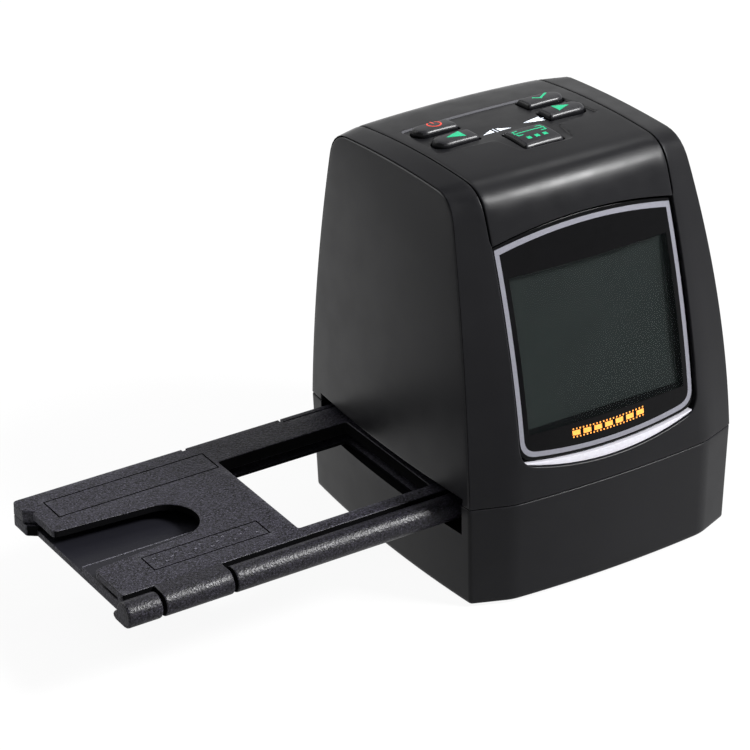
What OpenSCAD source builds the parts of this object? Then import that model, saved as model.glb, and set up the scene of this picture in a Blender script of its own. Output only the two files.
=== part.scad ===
// Film negative scanner: a bow-sided housing on a base, with a display, five keys on top,
// and a slot right through it for a film holder whose lid hinges along the front.
// Frame: X to the right, Y to the back, Z up. Origin: centre of the base's flat underside.

/* [Body] */
// Width at the seam, across the bowed sides
body_w = 84.3; // [80:0.1:92]
// Height of the crown above the underside
body_h = 104.6; // [102:0.1:116]
// Height of the seam between base and housing
base_h = 27.2; // [25:0.1:28.4]
// How far the front leans back from seam to crown
front_setback = 18.9; // [15:0.1:20]
// How far each side leans in from seam to crown
side_setback = 6; // [4.5:0.1:7]
// How far the back leans in from seam to crown
back_setback = 2.4; // [1:0.1:4]
// Sagitta of each bowed side
side_bow = 1.8; // [1:0.1:2.2]
// Sagitta of the bowed front
front_bow = 1.3; // [0.6:0.1:1.6]
// Sagitta of the bowed back
back_bow = 0.7; // [0.4:0.1:1]
// Depth of the bevels between the sides and the front and back
bevel_d = 4; // [3.2:0.1:4.6]
// Width of those bevels at the seam
bevel_w = 10.85; // [9:0.05:12]
// How much each side of the base draws in to the underside
side_taper = 0.7; // [0.2:0.1:1.2]
// How much the back of the base draws in to the underside
back_taper = 1.3; // [0.4:0.1:1.8]
// Rise of the top cover at its centre line
crown = 0.55; // [0.3:0.05:0.8]
// How much lower the side panels' top edge lies than the cover's
band_drop = 1.05; // [0.6:0.05:1.4]

/* [Shells] */
// Wall of the upper housing and top cover
wall = 3; // [2.8:0.1:3.4]
// Wall and floor of the base
base_wall = 2.4; // [1.8:0.1:2.6]
// Thickness of the side panels
panel_t = 1.6; // [1.2:0.1:1.8]
// Visible gap at every seam of the casing
seam = 0.2; // [0.1:0.05:0.3]

/* [Holder slot] */
// Depth of the casing in front of the slot
case_front = 3; // [2.6:0.1:4]
// Depth of the casing behind the slot
case_back = 5.6; // [5.2:0.1:7]
// Room in the slot in front of the holder's barrel
slot_spare = 4.5; // [4:0.1:5]
// Height of the slot's sill, on which the holder slides
slot_floor = 19; // [18:0.1:20]
// Height of the slot
slot_h = 10.05; // [9.8:0.05:10.4]

/* [Film holder] */
// Length of the holder
holder_l = 166.9; // [160:0.1:172]
// How far the holder's end stands out past the body's centre
holder_reach = 130.9; // [126:0.1:134]
// Thickness of the closed holder
holder_t = 6.6; // [6.2:0.1:6.8]
// Radius of the hinge barrel along its front edge
barrel_r = 3.3; // [3.1:0.05:3.4]
// Holder between the slides' pockets and its back edge
holder_edge = 4.6; // [4.2:0.1:6]
// Distance from the slides' pockets to the hinge's axis
hinge_edge = 1.2; // [1:0.1:2]
// Width of each square window
window_w = 38.2; // [34:0.1:40]
// Distance from one window's centre to the next
window_pitch = 59.2; // [56:0.1:62]
// Side of the pocket that takes one mounted slide
slide_w = 50.4; // [50.2:0.1:51]
// Thickness of a mounted slide
slide_t = 2; // [1.2:0.1:2]
// Thickness of the lid's plate
lid_plate = 1.8; // [1.4:0.1:2.2]
// Width of the thumb cut-out in the lid
thumb_w = 16.6; // [14:0.1:20]
// Length of the thumb cut-out
thumb_l = 32.5; // [26:0.1:36]
// Length of each lid knuckle
knuckle_l = 19.2; // [14:0.1:22]
// Length of the holder's end knuckles
end_knuckle_l = 9.5; // [8:0.1:11]
// Radius of the hinge pins
pin_r = 0.9; // [0.7:0.05:1.1]

/* [Display] */
// Width of the display window's glass
glass_w = 54; // [52:0.1:54.2]
// How far the glass's straight sides end below the crown
glass_drop = 14.2; // [13.6:0.1:15.6]
// How far they begin above the seam
glass_rise = 10.5; // [9.8:0.1:11.8]
// Rise of the glass's bowed top edge
glass_arch = 3.1; // [2:0.1:3.6]
// Drop of the glass's bowed bottom edge
glass_sag = 1.9; // [1:0.1:2.2]
// Thickness of the glass
glass_t = 1.2; // [1:0.1:1.3]
// How far the glass lies behind the casing's face
glass_recess = 1.1; // [0.9:0.05:1.2]
// Depth of the crescent trim below the glass, at its middle
chin_h = 2.7; // [2.2:0.1:3]
// Width of the picture area
picture_w = 46; // [42:0.1:47]
// Height of the picture area
picture_h = 38; // [36:0.1:40]

/* [Keys] */
// Length of the four side keys
key_l = 12; // [11:0.1:12.4]
// Depth of the four side keys
key_d = 6; // [5:0.1:6.4]
// Distance of the side keys' centres from the centre line
key_x = 16.5; // [16:0.1:17]
// Width of the centre key
scan_key_w = 11.8; // [10:0.1:12.4]
// Depth of the centre key
scan_key_d = 10.4; // [9:0.1:11]
// How far a key stands above the cover
key_proud = 1; // [0.6:0.1:1.3]
// How far a key travels
key_travel = 0.6; // [0.3:0.05:0.6]
// Gap around a key
key_gap = 0.25; // [0.15:0.05:0.3]

/* [Optics] */
// Height of the optical hood above the slot
hood_h = 26.5; // [24:0.1:29]
// Outer side of the square hood
hood_w = 44; // [43:0.1:45]
// Wall of the hood
hood_wall = 1.6; // [1.2:0.1:2]
// Radius of the lens barrel
lens_r = 7; // [6:0.1:8]
// Height of the light box
light_h = 8.6; // [7:0.1:8.8]
// Thickness of the diffuser
diffuser_t = 1.9; // [1.5:0.1:2.1]

/* [Boards and fasteners] */
// Thickness of every circuit board
board_t = 1.6; // [1.2:0.1:1.6]
// Radius of the screws' shanks
screw_r = 1; // [0.9:0.05:1.1]
// Radius of the screws' heads
head_r = 1.9; // [1.7:0.05:2]
// Height of the screws' heads
head_h = 1.1; // [0.9:0.1:1.2]
// Radius of the bosses that take a screw
boss_r = 2.3; // [2.2:0.05:2.4]
// Radius of the rubber feet
foot_r = 4.5; // [4:0.1:5]
// How far the feet stand below the underside
foot_proud = 0.8; // [0.5:0.1:1.2]

/* [Hidden] */

$fn = 48;
play = 0.05;            // gap between pieces that are fixed face to face
slide_play = 0.2;       // gap around the sliding holder
over = 1;               // how far a cutter runs past the face it cuts
far = 200;              // a length beyond any piece

// Casing: derived places
panel_d = case_front + slot_spare + barrel_r + hinge_edge + slide_w + holder_edge + slide_play + case_back;
cover_x = glass_w / 2 + 0.4;
seam_edge_x = body_w / 2 - side_bow - bevel_w;
crown_y = -4;           // where the top is highest
panel_sag = 2.05;       // drop of the panels' top edge over half their depth
cover_sag = 2.78;       // drop of the cover over half the panels' depth
bevel_thinning = 1.75;  // how much shallower the bevels are at the crown
corner_l = 6;           // reach of the rounded top corners, seen from the side
top_bow_share = 0.6;    // share of the side bow that is left at the crown
edge_stop = 0.8;        // share of the height above which the bevels' inner edges run straight up
steps = 5;              // points along each long curve of the casing
bends = 5;              // points along each rounded corner

// Display: derived places
glass_top = body_h - glass_drop;
glass_foot = base_h + glass_rise;
picture_z = (glass_foot + glass_top) / 2;

// Holder: derived places
slot_front = -panel_d / 2 + case_front;
slot_back = panel_d / 2 - case_back;
holder_z = slot_floor + slide_play;
parting_z = holder_z + holder_t / 2 - 0.2;
holder_top = holder_z + holder_t;
holder_x0 = -holder_reach;
holder_x1 = holder_x0 + holder_l;
holder_y1 = slot_back - slide_play;
hinge_z = holder_z + holder_t / 2;
hinge_y = slot_front + slot_spare + barrel_r;
tray_y0 = hinge_y - 1;
tray_end = 2.3;         // how far the holder's end blocks stand past its floor
lid_end = 1.7;          // and past its lid
lid_y0 = hinge_y + 2.3;
window_y = hinge_y + hinge_edge + slide_w / 2;  // centre line of the windows, the light and the lens
window_d = window_w + 0.4;
tray_floor = 1.1;       // tray left below a slide
grip_floor = 1.9;       // tray left below the thumb cut-out
rim_t = 1.6;            // rim that stands up behind the lid
rim_x0 = -window_pitch + 5.6;
notch_w = 1.2;
notch_d = 0.8;
knuckle_gap = 0.3;

// Light and optics: derived places
slot_top = slot_floor + slot_h;
gate_t = 2.4;
gate_z = slot_floor - gate_t;
gate_w = body_w - 11.3;
light_w = gate_w - 17;
gate_y0 = slot_front + 0.6;
deck_z = slot_top + 0.2;        // underside of the hood's plate
deck_t = 2;
hood_top = deck_z + hood_h;
diffuser_z = gate_z - diffuser_t - play;
light_z = diffuser_z - light_h - play;
led_z = light_z - board_t - play;
led_w = light_w + 1;
led_pitch = light_w / 3.5;
led_l = 3.5;
led_d = 2.8;
led_h = 1.2;
gate_post = [gate_w / 2 - 3.5, slide_w / 2 - 1.2];
housing_screw_front = [24, -panel_d / 2 + 1.2];
housing_screw_back = [body_w / 2 - 10.65, panel_d / 2 - 2.8];
cover_screw = [11, panel_d / 2 - 0.8];
deck_x = body_w / 2 - 8.15;
screw_seat = 13;                // where the case screws' heads bear
front_screw_top = glass_foot - 1.5;
led_post = led_w / 2 - 3;
ledge_x = cover_x - 1.4;        // inner edge of the ledges under the top cover
ledge_y = -21.5;                // where they begin, behind the display
ledge_t = 1.5;
guide_x = housing_screw_back[0] - boss_r - 0.4;  // half length and back of the guide behind the holder
guide_y = slot_back + 1.8;
detent_x = 5.7 - guide_x;
spring_l = 8.8;
chin_gap = 0.4;                 // dark gap between the glass and the crescent below it
foot_x = body_w / 2 - 11.15;
foot_y = panel_d / 2 - 11.4;
foot_depth = 1.2;

// Boards: derived places
key_floor = body_h - 6.6;       // underside of the keys' flanges
board_y = panel_d / 2 - 4.8;
board_z = base_h + 12.8;
board_w = 2 * cover_x - 3.8;
board_h = key_floor - 8 - board_z;
main_screw_x = board_w / 2 - 3.1;
main_screw_z = [board_z + 6, board_z + board_h - 6];
socket_y = board_y + board_t + play;
usb_x = -14;
usb_w = 7.7;
usb_h = 3.9;
usb_z = board_z + 3;
jack_x = 4;
jack_z = board_z + 5;
jack_r = 3;
card_x = 0;
card_w = 25;
card_h = 3;
card_z = board_z + 18;
ribbon_t = 0.3;
port_gap = 0.3;

// Keys: derived places
flange_t = 0.9;
flange_w = 0.9;
collar_t = 1.3;
switch_h = 1.9;
key_y = [16.4, 7.1];
key_at = [[-key_x, key_y[0]], [-key_x, key_y[1]], [key_x, key_y[0]], [key_x, key_y[1]], [0.7, -2.3]];
key_board_w = 2 * cover_x - 2.8;
key_board_y0 = -9;
key_board_y1 = 25.5;
key_board_z = key_floor - key_travel - 0.1 - switch_h - board_t;
key_screw_x = key_board_w / 2 - 2.5;
key_screw_y = [key_board_y0 + 2.5, key_board_y1 - 2.5];

// Lens and sensor above the hood
lens_z = hood_top - 8;
sensor_z = hood_top + 10;
sensor_screw_x = 10;

// Holder: the hinge's knuckles, the windows and the thumb cut-out
lid_knuckles = [holder_x0 + end_knuckle_l + knuckle_gap,
                holder_x1 - end_knuckle_l - knuckle_gap - knuckle_l];
window_x = [-window_pitch, 0];
thumb_y = window_y + 1.6;
groove = 0.3;

// How far a height lies between seam and crown, from 0 to 1
function climb(z) = max(0, z - base_h) / (body_h - base_h);
// How far a height lies between seam and underside, from 0 to 1
function dip(z) = max(0, base_h - z) / base_h;
// A lean that starts at the share "early" of a straight one and then grows
function ease(t, early) = early * t + (1 - early) * t * t;
// Points of a rounded corner between a and c, pulled towards b
function bend(a, b, c) =
    [for (k = [0:bends]) let (s = k / bends) (1 - s) * (1 - s) * a + 2 * s * (1 - s) * b + s * s * c];

// The casing's skin runs over four lanes: 0 the side panel's edge, 1 the cover's edge,
// 2 halfway to the middle and 3 the centre line. A skin may be drawn in by "inset".
lane_bow = [0, 0, 0.75, 1];
function bevel_at(z) = bevel_d - bevel_thinning * climb(z);
function side_x(z, inset) = body_w / 2 - side_bow - inset
    - side_setback * ease(climb(z), 0.26) - side_taper * dip(z);
function bow_at(z) = side_bow * (1 - (1 - top_bow_share) * climb(z));
function edge_x(z, inset) = max(cover_x,
    seam_edge_x - (seam_edge_x - cover_x) * climb(z) / edge_stop) - 0.2 * inset;
function front_y(z, lane, inset) = -panel_d / 2 + inset
    + front_setback * ease(climb(z), 0.36)
    - (lane == 0 ? 0 : bevel_at(z)) - front_bow * lane_bow[lane];
function back_y(z, lane, inset) = panel_d / 2 - inset
    - back_setback * ease(climb(z), 0) - back_taper * dip(z)
    + (lane == 0 ? 0 : bevel_at(z)) + back_bow * lane_bow[lane];
function top_z(y, lane, inset) = body_h - inset - crown * (1 - lane_bow[lane])
    - (lane == 0 ? band_drop : 0)
    - (lane == 0 ? panel_sag : cover_sag) * pow((y - crown_y) / (panel_d / 2), 2);

// Side view of one lane, as [y, z] points from the front foot over the top to the back foot
function lane_outline(lane, inset, foot) =
    let (r = corner_l - inset / 2,
         fz = top_z(front_y(body_h, lane, inset), lane, inset),
         bz = top_z(back_y(body_h, lane, inset), lane, inset),
         fy = front_y(fz, lane, inset),
         by = back_y(bz, lane, inset),
         heights = concat([foot, base_h], [for (k = [1:steps]) base_h + (fz - r - base_h) * k / steps]))
    concat(
        [for (k = [0:steps]) [front_y(heights[k], lane, inset), heights[k]]],
        bend([front_y(fz - r, lane, inset), fz - r], [fy, fz], [fy + r, top_z(fy + r, lane, inset)]),
        [for (k = [1:steps]) let (y = fy + r + (by - fy - 2 * r) * k / (steps + 1))
            [y, top_z(y, lane, inset)]],
        bend([by - r, top_z(by - r, lane, inset)], [by, bz], [back_y(bz - r, lane, inset), bz - r]),
        [for (k = [steps:-1:0]) [back_y(heights[k], lane, inset), heights[k]]]);

// All points of the skin, drawn in by inset and cut off at height foot
function skin_points(inset, foot) =
    let (panel = lane_outline(0, inset, foot),
         edge = lane_outline(1, inset, foot),
         middle = lane_outline(2, inset, foot),
         centre = lane_outline(3, inset, foot),
         reach = body_h - corner_l - 6)
    concat(
        [for (s = [-1, 1], p = panel) [s * side_x(p[1], inset), p[0], p[1]]],
        [for (s = [-1, 1], p = edge) [s * edge_x(p[1], inset), p[0], p[1]]],
        [for (s = [-0.5, 0.5], p = middle) [s * edge_x(p[1], inset), p[0], p[1]]],
        [for (p = centre) [0, p[0], p[1]]],
        [for (s = [-1, 1], z = concat([foot, base_h], [for (k = [1:steps]) base_h + (reach - base_h) * k / steps]),
              f = [1:5])
            let (y0 = front_y(z, 0, inset), y1 = back_y(z, 0, inset))
            [s * (side_x(z, inset) + bow_at(z) * (1 - pow(1 - f / 3, 2))), y0 + (y1 - y0) * f / 6, z]]);

// The casing's solid form, drawn in by inset, from height foot up
module skin(inset, foot) {
    points = skin_points(inset, foot);
    count = len(points);
    hull() polyhedron(points, [for (k = [0:3:count - 1]) [k, (k + 1) % count, (k + 2) % count]]);
}

// Extrudes an [x, z] drawing along Y
module along_y(y0, y1) translate([0, y1, 0]) rotate([90, 0, 0]) linear_extrude(y1 - y0) children();
// Extrudes a [y, z] drawing along X
module along_x(x0, x1) translate([x0, 0, 0]) rotate([90, 0, 90]) linear_extrude(x1 - x0) children();
// A box from its lowest to its highest corner
module block(a, b) translate(a) cube(b - a);
// An upright cylinder between two heights
module post(x, y, z0, z1, r) translate([x, y, z0]) cylinder(r = r, h = z1 - z0);
// A cylinder along Y between two depths
module peg(x, z, y0, y1, r) translate([x, y1, z]) rotate([90, 0, 0]) cylinder(r = r, h = y1 - y0);
// A cylinder along X between two places
module rod(x0, x1, y, z, r) translate([x0, y, z]) rotate([0, 90, 0]) cylinder(r = r, h = x1 - x0);
// A screw whose head bears at height z with its shank upwards
module screw_up(x, y, z, length) {
    post(x, y, z - head_h, z, head_r);
    post(x, y, z, z + length, screw_r);
}

// ---- Casing ----

// The slot right through both sides
module slot_cut() block([-far, slot_front, slot_floor], [far, slot_back, slot_top]);

// Side view of the opening that takes a side panel
module panel_outline(inset) polygon(lane_outline(0, inset, -over));

// Front view of the glass, grown by grow: bowed top with sharp corners, rounded foot
function glass_points(grow) =
    let (w = glass_w / 2 + grow, r = 4, n = 8, foot = glass_foot - grow, top = glass_top + grow)
    concat(
        [for (k = [0:n]) let (f = 1 - 2 * k / n) [w * f, top + glass_arch * (1 - f * f)]],
        bend([-w, foot + r], [-w, foot], [-w + r, foot - glass_sag * (1 - pow(1 - r / w, 2))]),
        [for (k = [1:n - 1]) let (x = -w + r + 2 * (w - r) * k / n)
            [x, foot - glass_sag * (1 - x * x / w / w)]],
        bend([w - r, foot - glass_sag * (1 - pow(1 - r / w, 2))], [w, foot], [w, foot + r]));

// Front view of the crescent below the glass, its upper edge raised by rise
function chin_points(grow, rise) =
    let (w = glass_w / 2 + grow, n = 10, lower = glass_foot - 0.7 - grow,
         upper = glass_foot - chin_gap + rise)
    concat(
        [for (k = [0:n]) let (f = -1 + 2 * k / n)
            [w * f, lower - (glass_sag + chin_h - 0.6) * (1 - f * f)]],
        [for (k = [n:-1:0]) let (f = -1 + 2 * k / n)
            [w * f, upper - (glass_sag + 0.1) * (1 - f * f)]]);

// The region of the top cover: over the glass, over the top and down the back
module cover_region(inset) {
    half = cover_x - inset;
    difference() {
        block([-half, -far, base_h + inset], [half, far, far]);
        along_y(-far, 0) polygon(concat(
            [for (k = [0:8]) let (x = half * 1.02 * (1 - k / 4))
                [x, glass_top + glass_arch * (1 - pow(x / (glass_w / 2), 2)) + inset]],
            [[-half - over, 0], [half + over, 0]]));
    }
}

module base_shell() color([0.13, 0.13, 0.14]) {
    difference() {
        intersection() {
            skin(0, 0);
            block([-far, -far, -over], [far, far, base_h - seam / 2]);
        }
        difference() {
            skin(base_wall, base_wall);
            for (s = [-1, 1]) {
                for (p = [housing_screw_front, housing_screw_back, cover_screw]) {
                    post(s * p[0], p[1], 0, screw_seat + 2, head_r + 1.2);
                    post(s * p[0], p[1], 0, base_h, boss_r);
                }
                for (t = [-1, 1]) {
                    post(s * gate_post[0], window_y + t * gate_post[1], 0, gate_z - play, boss_r);
                    post(s * led_post, window_y + t * led_post, 0, led_z - play, boss_r);
                }
            }
        }
        slot_cut();
        for (s = [-1, 1]) {
            for (p = [housing_screw_front, housing_screw_back, cover_screw]) {
                post(s * p[0], p[1], -over, screw_seat, head_r + 0.15);
                post(s * p[0], p[1], 0, base_h + over, screw_r + 0.15);
            }
            for (t = [-1, 1]) {
                post(s * gate_post[0], window_y + t * gate_post[1], gate_z - 7, gate_z, screw_r + 0.02);
                post(s * foot_x, t * foot_y, -over, foot_depth, foot_r + 0.1);
            }
        }
    }
}

module upper_housing() color([0.13, 0.13, 0.14]) difference() {
    union() {
        difference() {
            intersection() {
                skin(0, 0);
                block([-far, -far, base_h + seam / 2], [far, far, far]);
            }
            difference() {
                skin(wall + 2 * play, 0);
                for (s = [-1, 1]) {
                    post(s * housing_screw_front[0], housing_screw_front[1],
                         deck_z + deck_t + play, front_screw_top + 1, boss_r);
                    post(s * housing_screw_back[0], housing_screw_back[1],
                         deck_z + deck_t + play, board_z - 1, boss_r);
                }
            }
            cover_region(0.1);
        }
        // Ledges under the top cover's edges
        difference() {
            intersection() {
                skin(wall + play, 0);
                for (x = [-cover_x - over, ledge_x])
                    block([x, ledge_y, deck_z + deck_t + 2], [x + cover_x + over - ledge_x, far, far]);
            }
            skin(wall + ledge_t, -over);
        }
    }
    // Pockets for the side panels
    difference() {
        for (s = [-1, 1]) along_x(s < 0 ? -far : cover_x + 2, s < 0 ? -cover_x - 2 : far) panel_outline(0.1);
        skin(panel_t + play, -2 * over);
    }
    slot_cut();
    // Recess for the glass and the crescent below it, with the ledge that carries them
    difference() {
        along_y(-far, 0) {
            polygon(glass_points(0.15));
            polygon(chin_points(0.12, chin_gap + 0.4));
        }
        skin(glass_recess + glass_t + play, -over);
    }
    // Window in the ledge for the picture
    block([-picture_w / 2 - 1, -far, picture_z - picture_h / 2 - 1],
          [picture_w / 2 + 1, 0, picture_z + picture_h / 2 + 1]);
    for (s = [-1, 1]) {
        post(s * housing_screw_front[0], housing_screw_front[1], base_h, front_screw_top, screw_r + 0.02);
        post(s * housing_screw_back[0], housing_screw_back[1], base_h, board_z - 2, screw_r + 0.02);
    }
}

module side_panel(s) color([0.14, 0.14, 0.15]) difference() {
    intersection() {
        skin(0, 0);
        along_x(s < 0 ? -far : cover_x + 2, s < 0 ? -cover_x - 2 : far)
            panel_outline(0.1 + seam);
        block([-far, -far, base_h + seam / 2], [far, far, far]);
    }
    skin(panel_t, -2 * over);
    slot_cut();
}

module top_cover() color([0.13, 0.13, 0.14]) difference() {
    union() {
        difference() {
            intersection() {
                skin(0, 0);
                cover_region(0.1 + seam);
            }
            skin(wall, 0);
        }
        intersection() {
            skin(over, 0);
            union() {
                // Guides around the keys
                for (k = [0:4])
                    key_place(k) linear_extrude(far) key_outline(k, key_gap + collar_t);
                // Bosses for the key board, the main board and the two screws at the back
                for (s = [-1, 1]) {
                    for (y = key_screw_y)
                        post(s * key_screw_x, y, key_board_z + board_t + play, far, boss_r);
                    for (z = main_screw_z)
                        peg(s * main_screw_x, z, board_y + board_t + play, far, boss_r);
                    post(s * cover_screw[0], cover_screw[1], base_h + seam / 2 + 0.1, board_z - 1, boss_r);
                }
            }
        }
    }
    for (k = [0:4])
        key_place(k) translate([0, 0, -over]) linear_extrude(far) key_outline(k, key_gap);
    for (s = [-1, 1]) {
        for (y = key_screw_y)
            post(s * key_screw_x, y, key_board_z, key_board_z + board_t + 4, screw_r + 0.02);
        for (z = main_screw_z)
            peg(s * main_screw_x, z, board_y, board_y + board_t + 4, screw_r + 0.02);
        post(s * cover_screw[0], cover_screw[1], base_h, board_z - 3, screw_r + 0.02);
    }
    // Openings for the sockets
    block([usb_x - usb_w / 2 - port_gap, board_y, usb_z - port_gap],
          [usb_x + usb_w / 2 + port_gap, far, usb_z + usb_h + port_gap]);
    block([card_x - card_w / 2 - port_gap, board_y, card_z - port_gap],
          [card_x + card_w / 2 + port_gap, far, card_z + card_h + port_gap]);
    peg(jack_x, jack_z, board_y, far, jack_r + port_gap);
}

// ---- Display ----

module display_glass() color([0.05, 0.05, 0.06]) intersection() {
    difference() {
        skin(glass_recess, 0);
        skin(glass_recess + glass_t, -over);
    }
    along_y(-far, 0) polygon(glass_points(0));
}

module chin_trim() color([0.6, 0.6, 0.62]) intersection() {
    difference() {
        skin(0.5, 0);
        skin(glass_recess + glass_t, -over);
    }
    along_y(-far, 0) polygon(chin_points(0, 0));
}

// The panel behind the glass leans with the chord of the casing's inner face
lcd_w = picture_w + 6;
lcd_h = picture_h + 8;
lcd_t = 3.2;
lcd_z0 = picture_z - picture_h / 2 - 5;
lcd_y0 = front_y(lcd_z0, 1, wall) + 0.3;
lcd_y1 = front_y(lcd_z0 + lcd_h, 1, wall) + 0.3;
lcd_lean = atan2(lcd_y1 - lcd_y0, lcd_h);

module lcd_module() color([0.2, 0.22, 0.22])
    translate([0, lcd_y0, lcd_z0]) rotate([-lcd_lean, 0, 0]) block([-lcd_w / 2, 0, 0], [lcd_w / 2, lcd_t, lcd_h]);

lcd_ribbon_z = lcd_z0 + 8;
module lcd_ribbon() color([0.75, 0.45, 0.15])
    block([hood_w / 2 + 0.5, lcd_y0 + 8 * tan(lcd_lean) + lcd_t / cos(lcd_lean) + 0.15, lcd_ribbon_z],
          [hood_w / 2 + 3.5, board_y - play, lcd_ribbon_z + ribbon_t]);

// ---- Keys ----

// Keys by number: 0 power, 1 left, 2 OK, 3 right, 4 scan
module key_place(k) translate([key_at[k][0], key_at[k][1], key_floor + flange_t + 0.1]) children();

// Outline of a key, grown by grow: the side keys have one round end, away from the centre
module key_outline(k, grow) {
    if (k == 4)
        square([scan_key_w + 2 * grow, scan_key_d + 2 * grow], center = true);
    else {
        s = k < 2 ? -1 : 1;
        r = key_d / 2 + grow;
        translate([s * (key_l / 2 - key_d / 2), 0]) circle(r);
        translate([s < 0 ? -key_l / 2 + key_d / 2 : -key_l / 2 - grow, -r])
            square([key_l - key_d / 2 + grow, 2 * r]);
    }
}

module key(k) color([0.16, 0.16, 0.17]) {
    top = top_z(key_at[k][1], 2, 0) + key_proud;
    translate([key_at[k][0], key_at[k][1], key_floor]) {
        linear_extrude(flange_t) key_outline(k, flange_w);
        linear_extrude(top - key_floor) key_outline(k, 0);
    }
}

module key_board() color([0.1, 0.35, 0.2]) difference() {
    block([-key_board_w / 2, key_board_y0, key_board_z], [key_board_w / 2, key_board_y1, key_board_z + board_t]);
    for (s = [-1, 1], y = key_screw_y) post(s * key_screw_x, y, 0, far, screw_r + 0.15);
}

module key_switches() color([0.7, 0.7, 0.72]) for (p = key_at) {
    z = key_board_z + board_t + play;
    block([p[0] - 2.2, p[1] - 2.2, z], [p[0] + 2.2, p[1] + 2.2, z + 1.3]);
    post(p[0], p[1], z + 1.3, z + switch_h - play, 1.1);
}

module key_board_screws() color([0.75, 0.75, 0.78])
    for (s = [-1, 1], y = key_screw_y) screw_up(s * key_screw_x, y, key_board_z - play, board_t + 3.5);

module key_ribbon() color([0.75, 0.45, 0.15]) along_x(-5, 5) {
    y1 = board_y - play;
    z1 = key_board_z - play;
    translate([key_board_y1 - 5, z1 - ribbon_t]) square([y1 - key_board_y1 + 5, ribbon_t]);
    translate([y1 - ribbon_t, board_z + board_h - 6]) square([ribbon_t, z1 - (board_z + board_h - 6)]);
}

// ---- Main board, upright inside the back ----

function port_y(z, inset) = back_y(z, 1, 0) - inset;

module main_board() color([0.1, 0.35, 0.2]) difference() {
    block([-board_w / 2, board_y, board_z], [board_w / 2, board_y + board_t, board_z + board_h]);
    for (s = [-1, 1], z = main_screw_z) peg(s * main_screw_x, z, 0, far, screw_r + 0.15);
}

module image_chip() color([0.12, 0.12, 0.13])
    block([7, board_y - play - 1.4, board_z + 22], [19, board_y - play, board_z + 34]);

module main_board_screws() color([0.75, 0.75, 0.78])
    for (s = [-1, 1], z = main_screw_z) {
        peg(s * main_screw_x, z, board_y - play - head_h, board_y - play, head_r);
        peg(s * main_screw_x, z, board_y - play, board_y + board_t + 3.5, screw_r);
    }

module usb_socket() color([0.7, 0.7, 0.72]) difference() {
    block([usb_x - usb_w / 2, socket_y, usb_z], [usb_x + usb_w / 2, port_y(usb_z, 0.4), usb_z + usb_h]);
    block([usb_x - usb_w / 2 + 0.5, socket_y + 1.5, usb_z + 0.5],
          [usb_x + usb_w / 2 - 0.5, far, usb_z + usb_h - 0.5]);
}

module tv_jack() color([0.1, 0.1, 0.1]) difference() {
    peg(jack_x, jack_z, socket_y, port_y(jack_z, 0.4), jack_r);
    peg(jack_x, jack_z, socket_y + 1.5, far, 1.8);
}

module card_socket() color([0.7, 0.7, 0.72]) difference() {
    block([card_x - card_w / 2, socket_y, card_z], [card_x + card_w / 2, port_y(card_z, 0.4), card_z + card_h]);
    block([card_x - card_w / 2 + 0.4, socket_y + 1, card_z + 0.4],
          [card_x + card_w / 2 - 0.4, far, card_z + card_h - 0.4]);
}

// ---- Optics above the slot ----

module optical_hood() color([0.08, 0.08, 0.08]) {
    half = hood_w / 2;
    difference() {
        union() {
            translate([0, 0, deck_z]) linear_extrude(deck_t) polygon([
                [-deck_x + 8, -panel_d / 2 - 0.3], [deck_x - 8, -panel_d / 2 - 0.3],
                [deck_x, slot_front + 0.4], [deck_x, panel_d / 2 - 2.1], [deck_x - 5, panel_d / 2],
                [-deck_x + 5, panel_d / 2], [-deck_x, panel_d / 2 - 2.1], [-deck_x, slot_front + 0.4]]);
            // Feet that stand on the base's screw posts
            for (s = [-1, 1], p = [housing_screw_front, housing_screw_back])
                post(s * p[0], p[1], base_h - seam / 2 + play, deck_z + deck_t / 2, boss_r - 0.6);
            block([-half, window_y - half, deck_z], [half, window_y + half, hood_top]);
            post(0, window_y, hood_top - over, hood_top + 6, lens_r + 1.5);
            for (s = [-1, 1]) post(s * sensor_screw_x, window_y, hood_top - over, sensor_z - play, 2);
        }
        block([-half + hood_wall, window_y - half + hood_wall, deck_z - over],
              [half - hood_wall, window_y + half - hood_wall, hood_top - hood_wall]);
        post(0, window_y, 0, far, lens_r + play);
        for (s = [-1, 1]) {
            post(s * sensor_screw_x, window_y, hood_top + 3, far, screw_r + 0.02);
            for (p = [housing_screw_front, housing_screw_back])
                post(s * p[0], p[1], 0, far, screw_r + 0.15);
        }
        // Room for the top cover's two bosses and the light's ribbon
        block([-cover_screw[0] - boss_r - 0.4, cover_screw[1] - boss_r - 0.4, 0],
              [cover_screw[0] + boss_r + 0.4, far, hood_top]);
    }
}

module lens_barrel() color([0.07, 0.07, 0.08]) difference() {
    post(0, window_y, lens_z, hood_top + 6, lens_r);
    post(0, window_y, lens_z - over, hood_top + 8, 3);
    post(0, window_y, lens_z - over, lens_z + 2.5, 5);
    post(0, window_y, hood_top + 4, hood_top + 8, 4);
}

module front_lens() color([0.6, 0.7, 0.8]) post(0, window_y, lens_z + 0.6, lens_z + 2.5 - play, 5 - play);

module rear_lens() color([0.6, 0.7, 0.8])
    post(0, window_y, hood_top + 4 + play, hood_top + 5.6, 4 - play);

module sensor_board() color([0.1, 0.35, 0.2]) difference() {
    block([-13, window_y - 13, sensor_z], [13, window_y + 13, sensor_z + board_t]);
    for (s = [-1, 1]) post(s * sensor_screw_x, window_y, 0, far, screw_r + 0.15);
}

module image_sensor() color([0.2, 0.2, 0.22])
    block([-5, window_y - 5, sensor_z - 1.5], [5, window_y + 5, sensor_z - play]);

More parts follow.
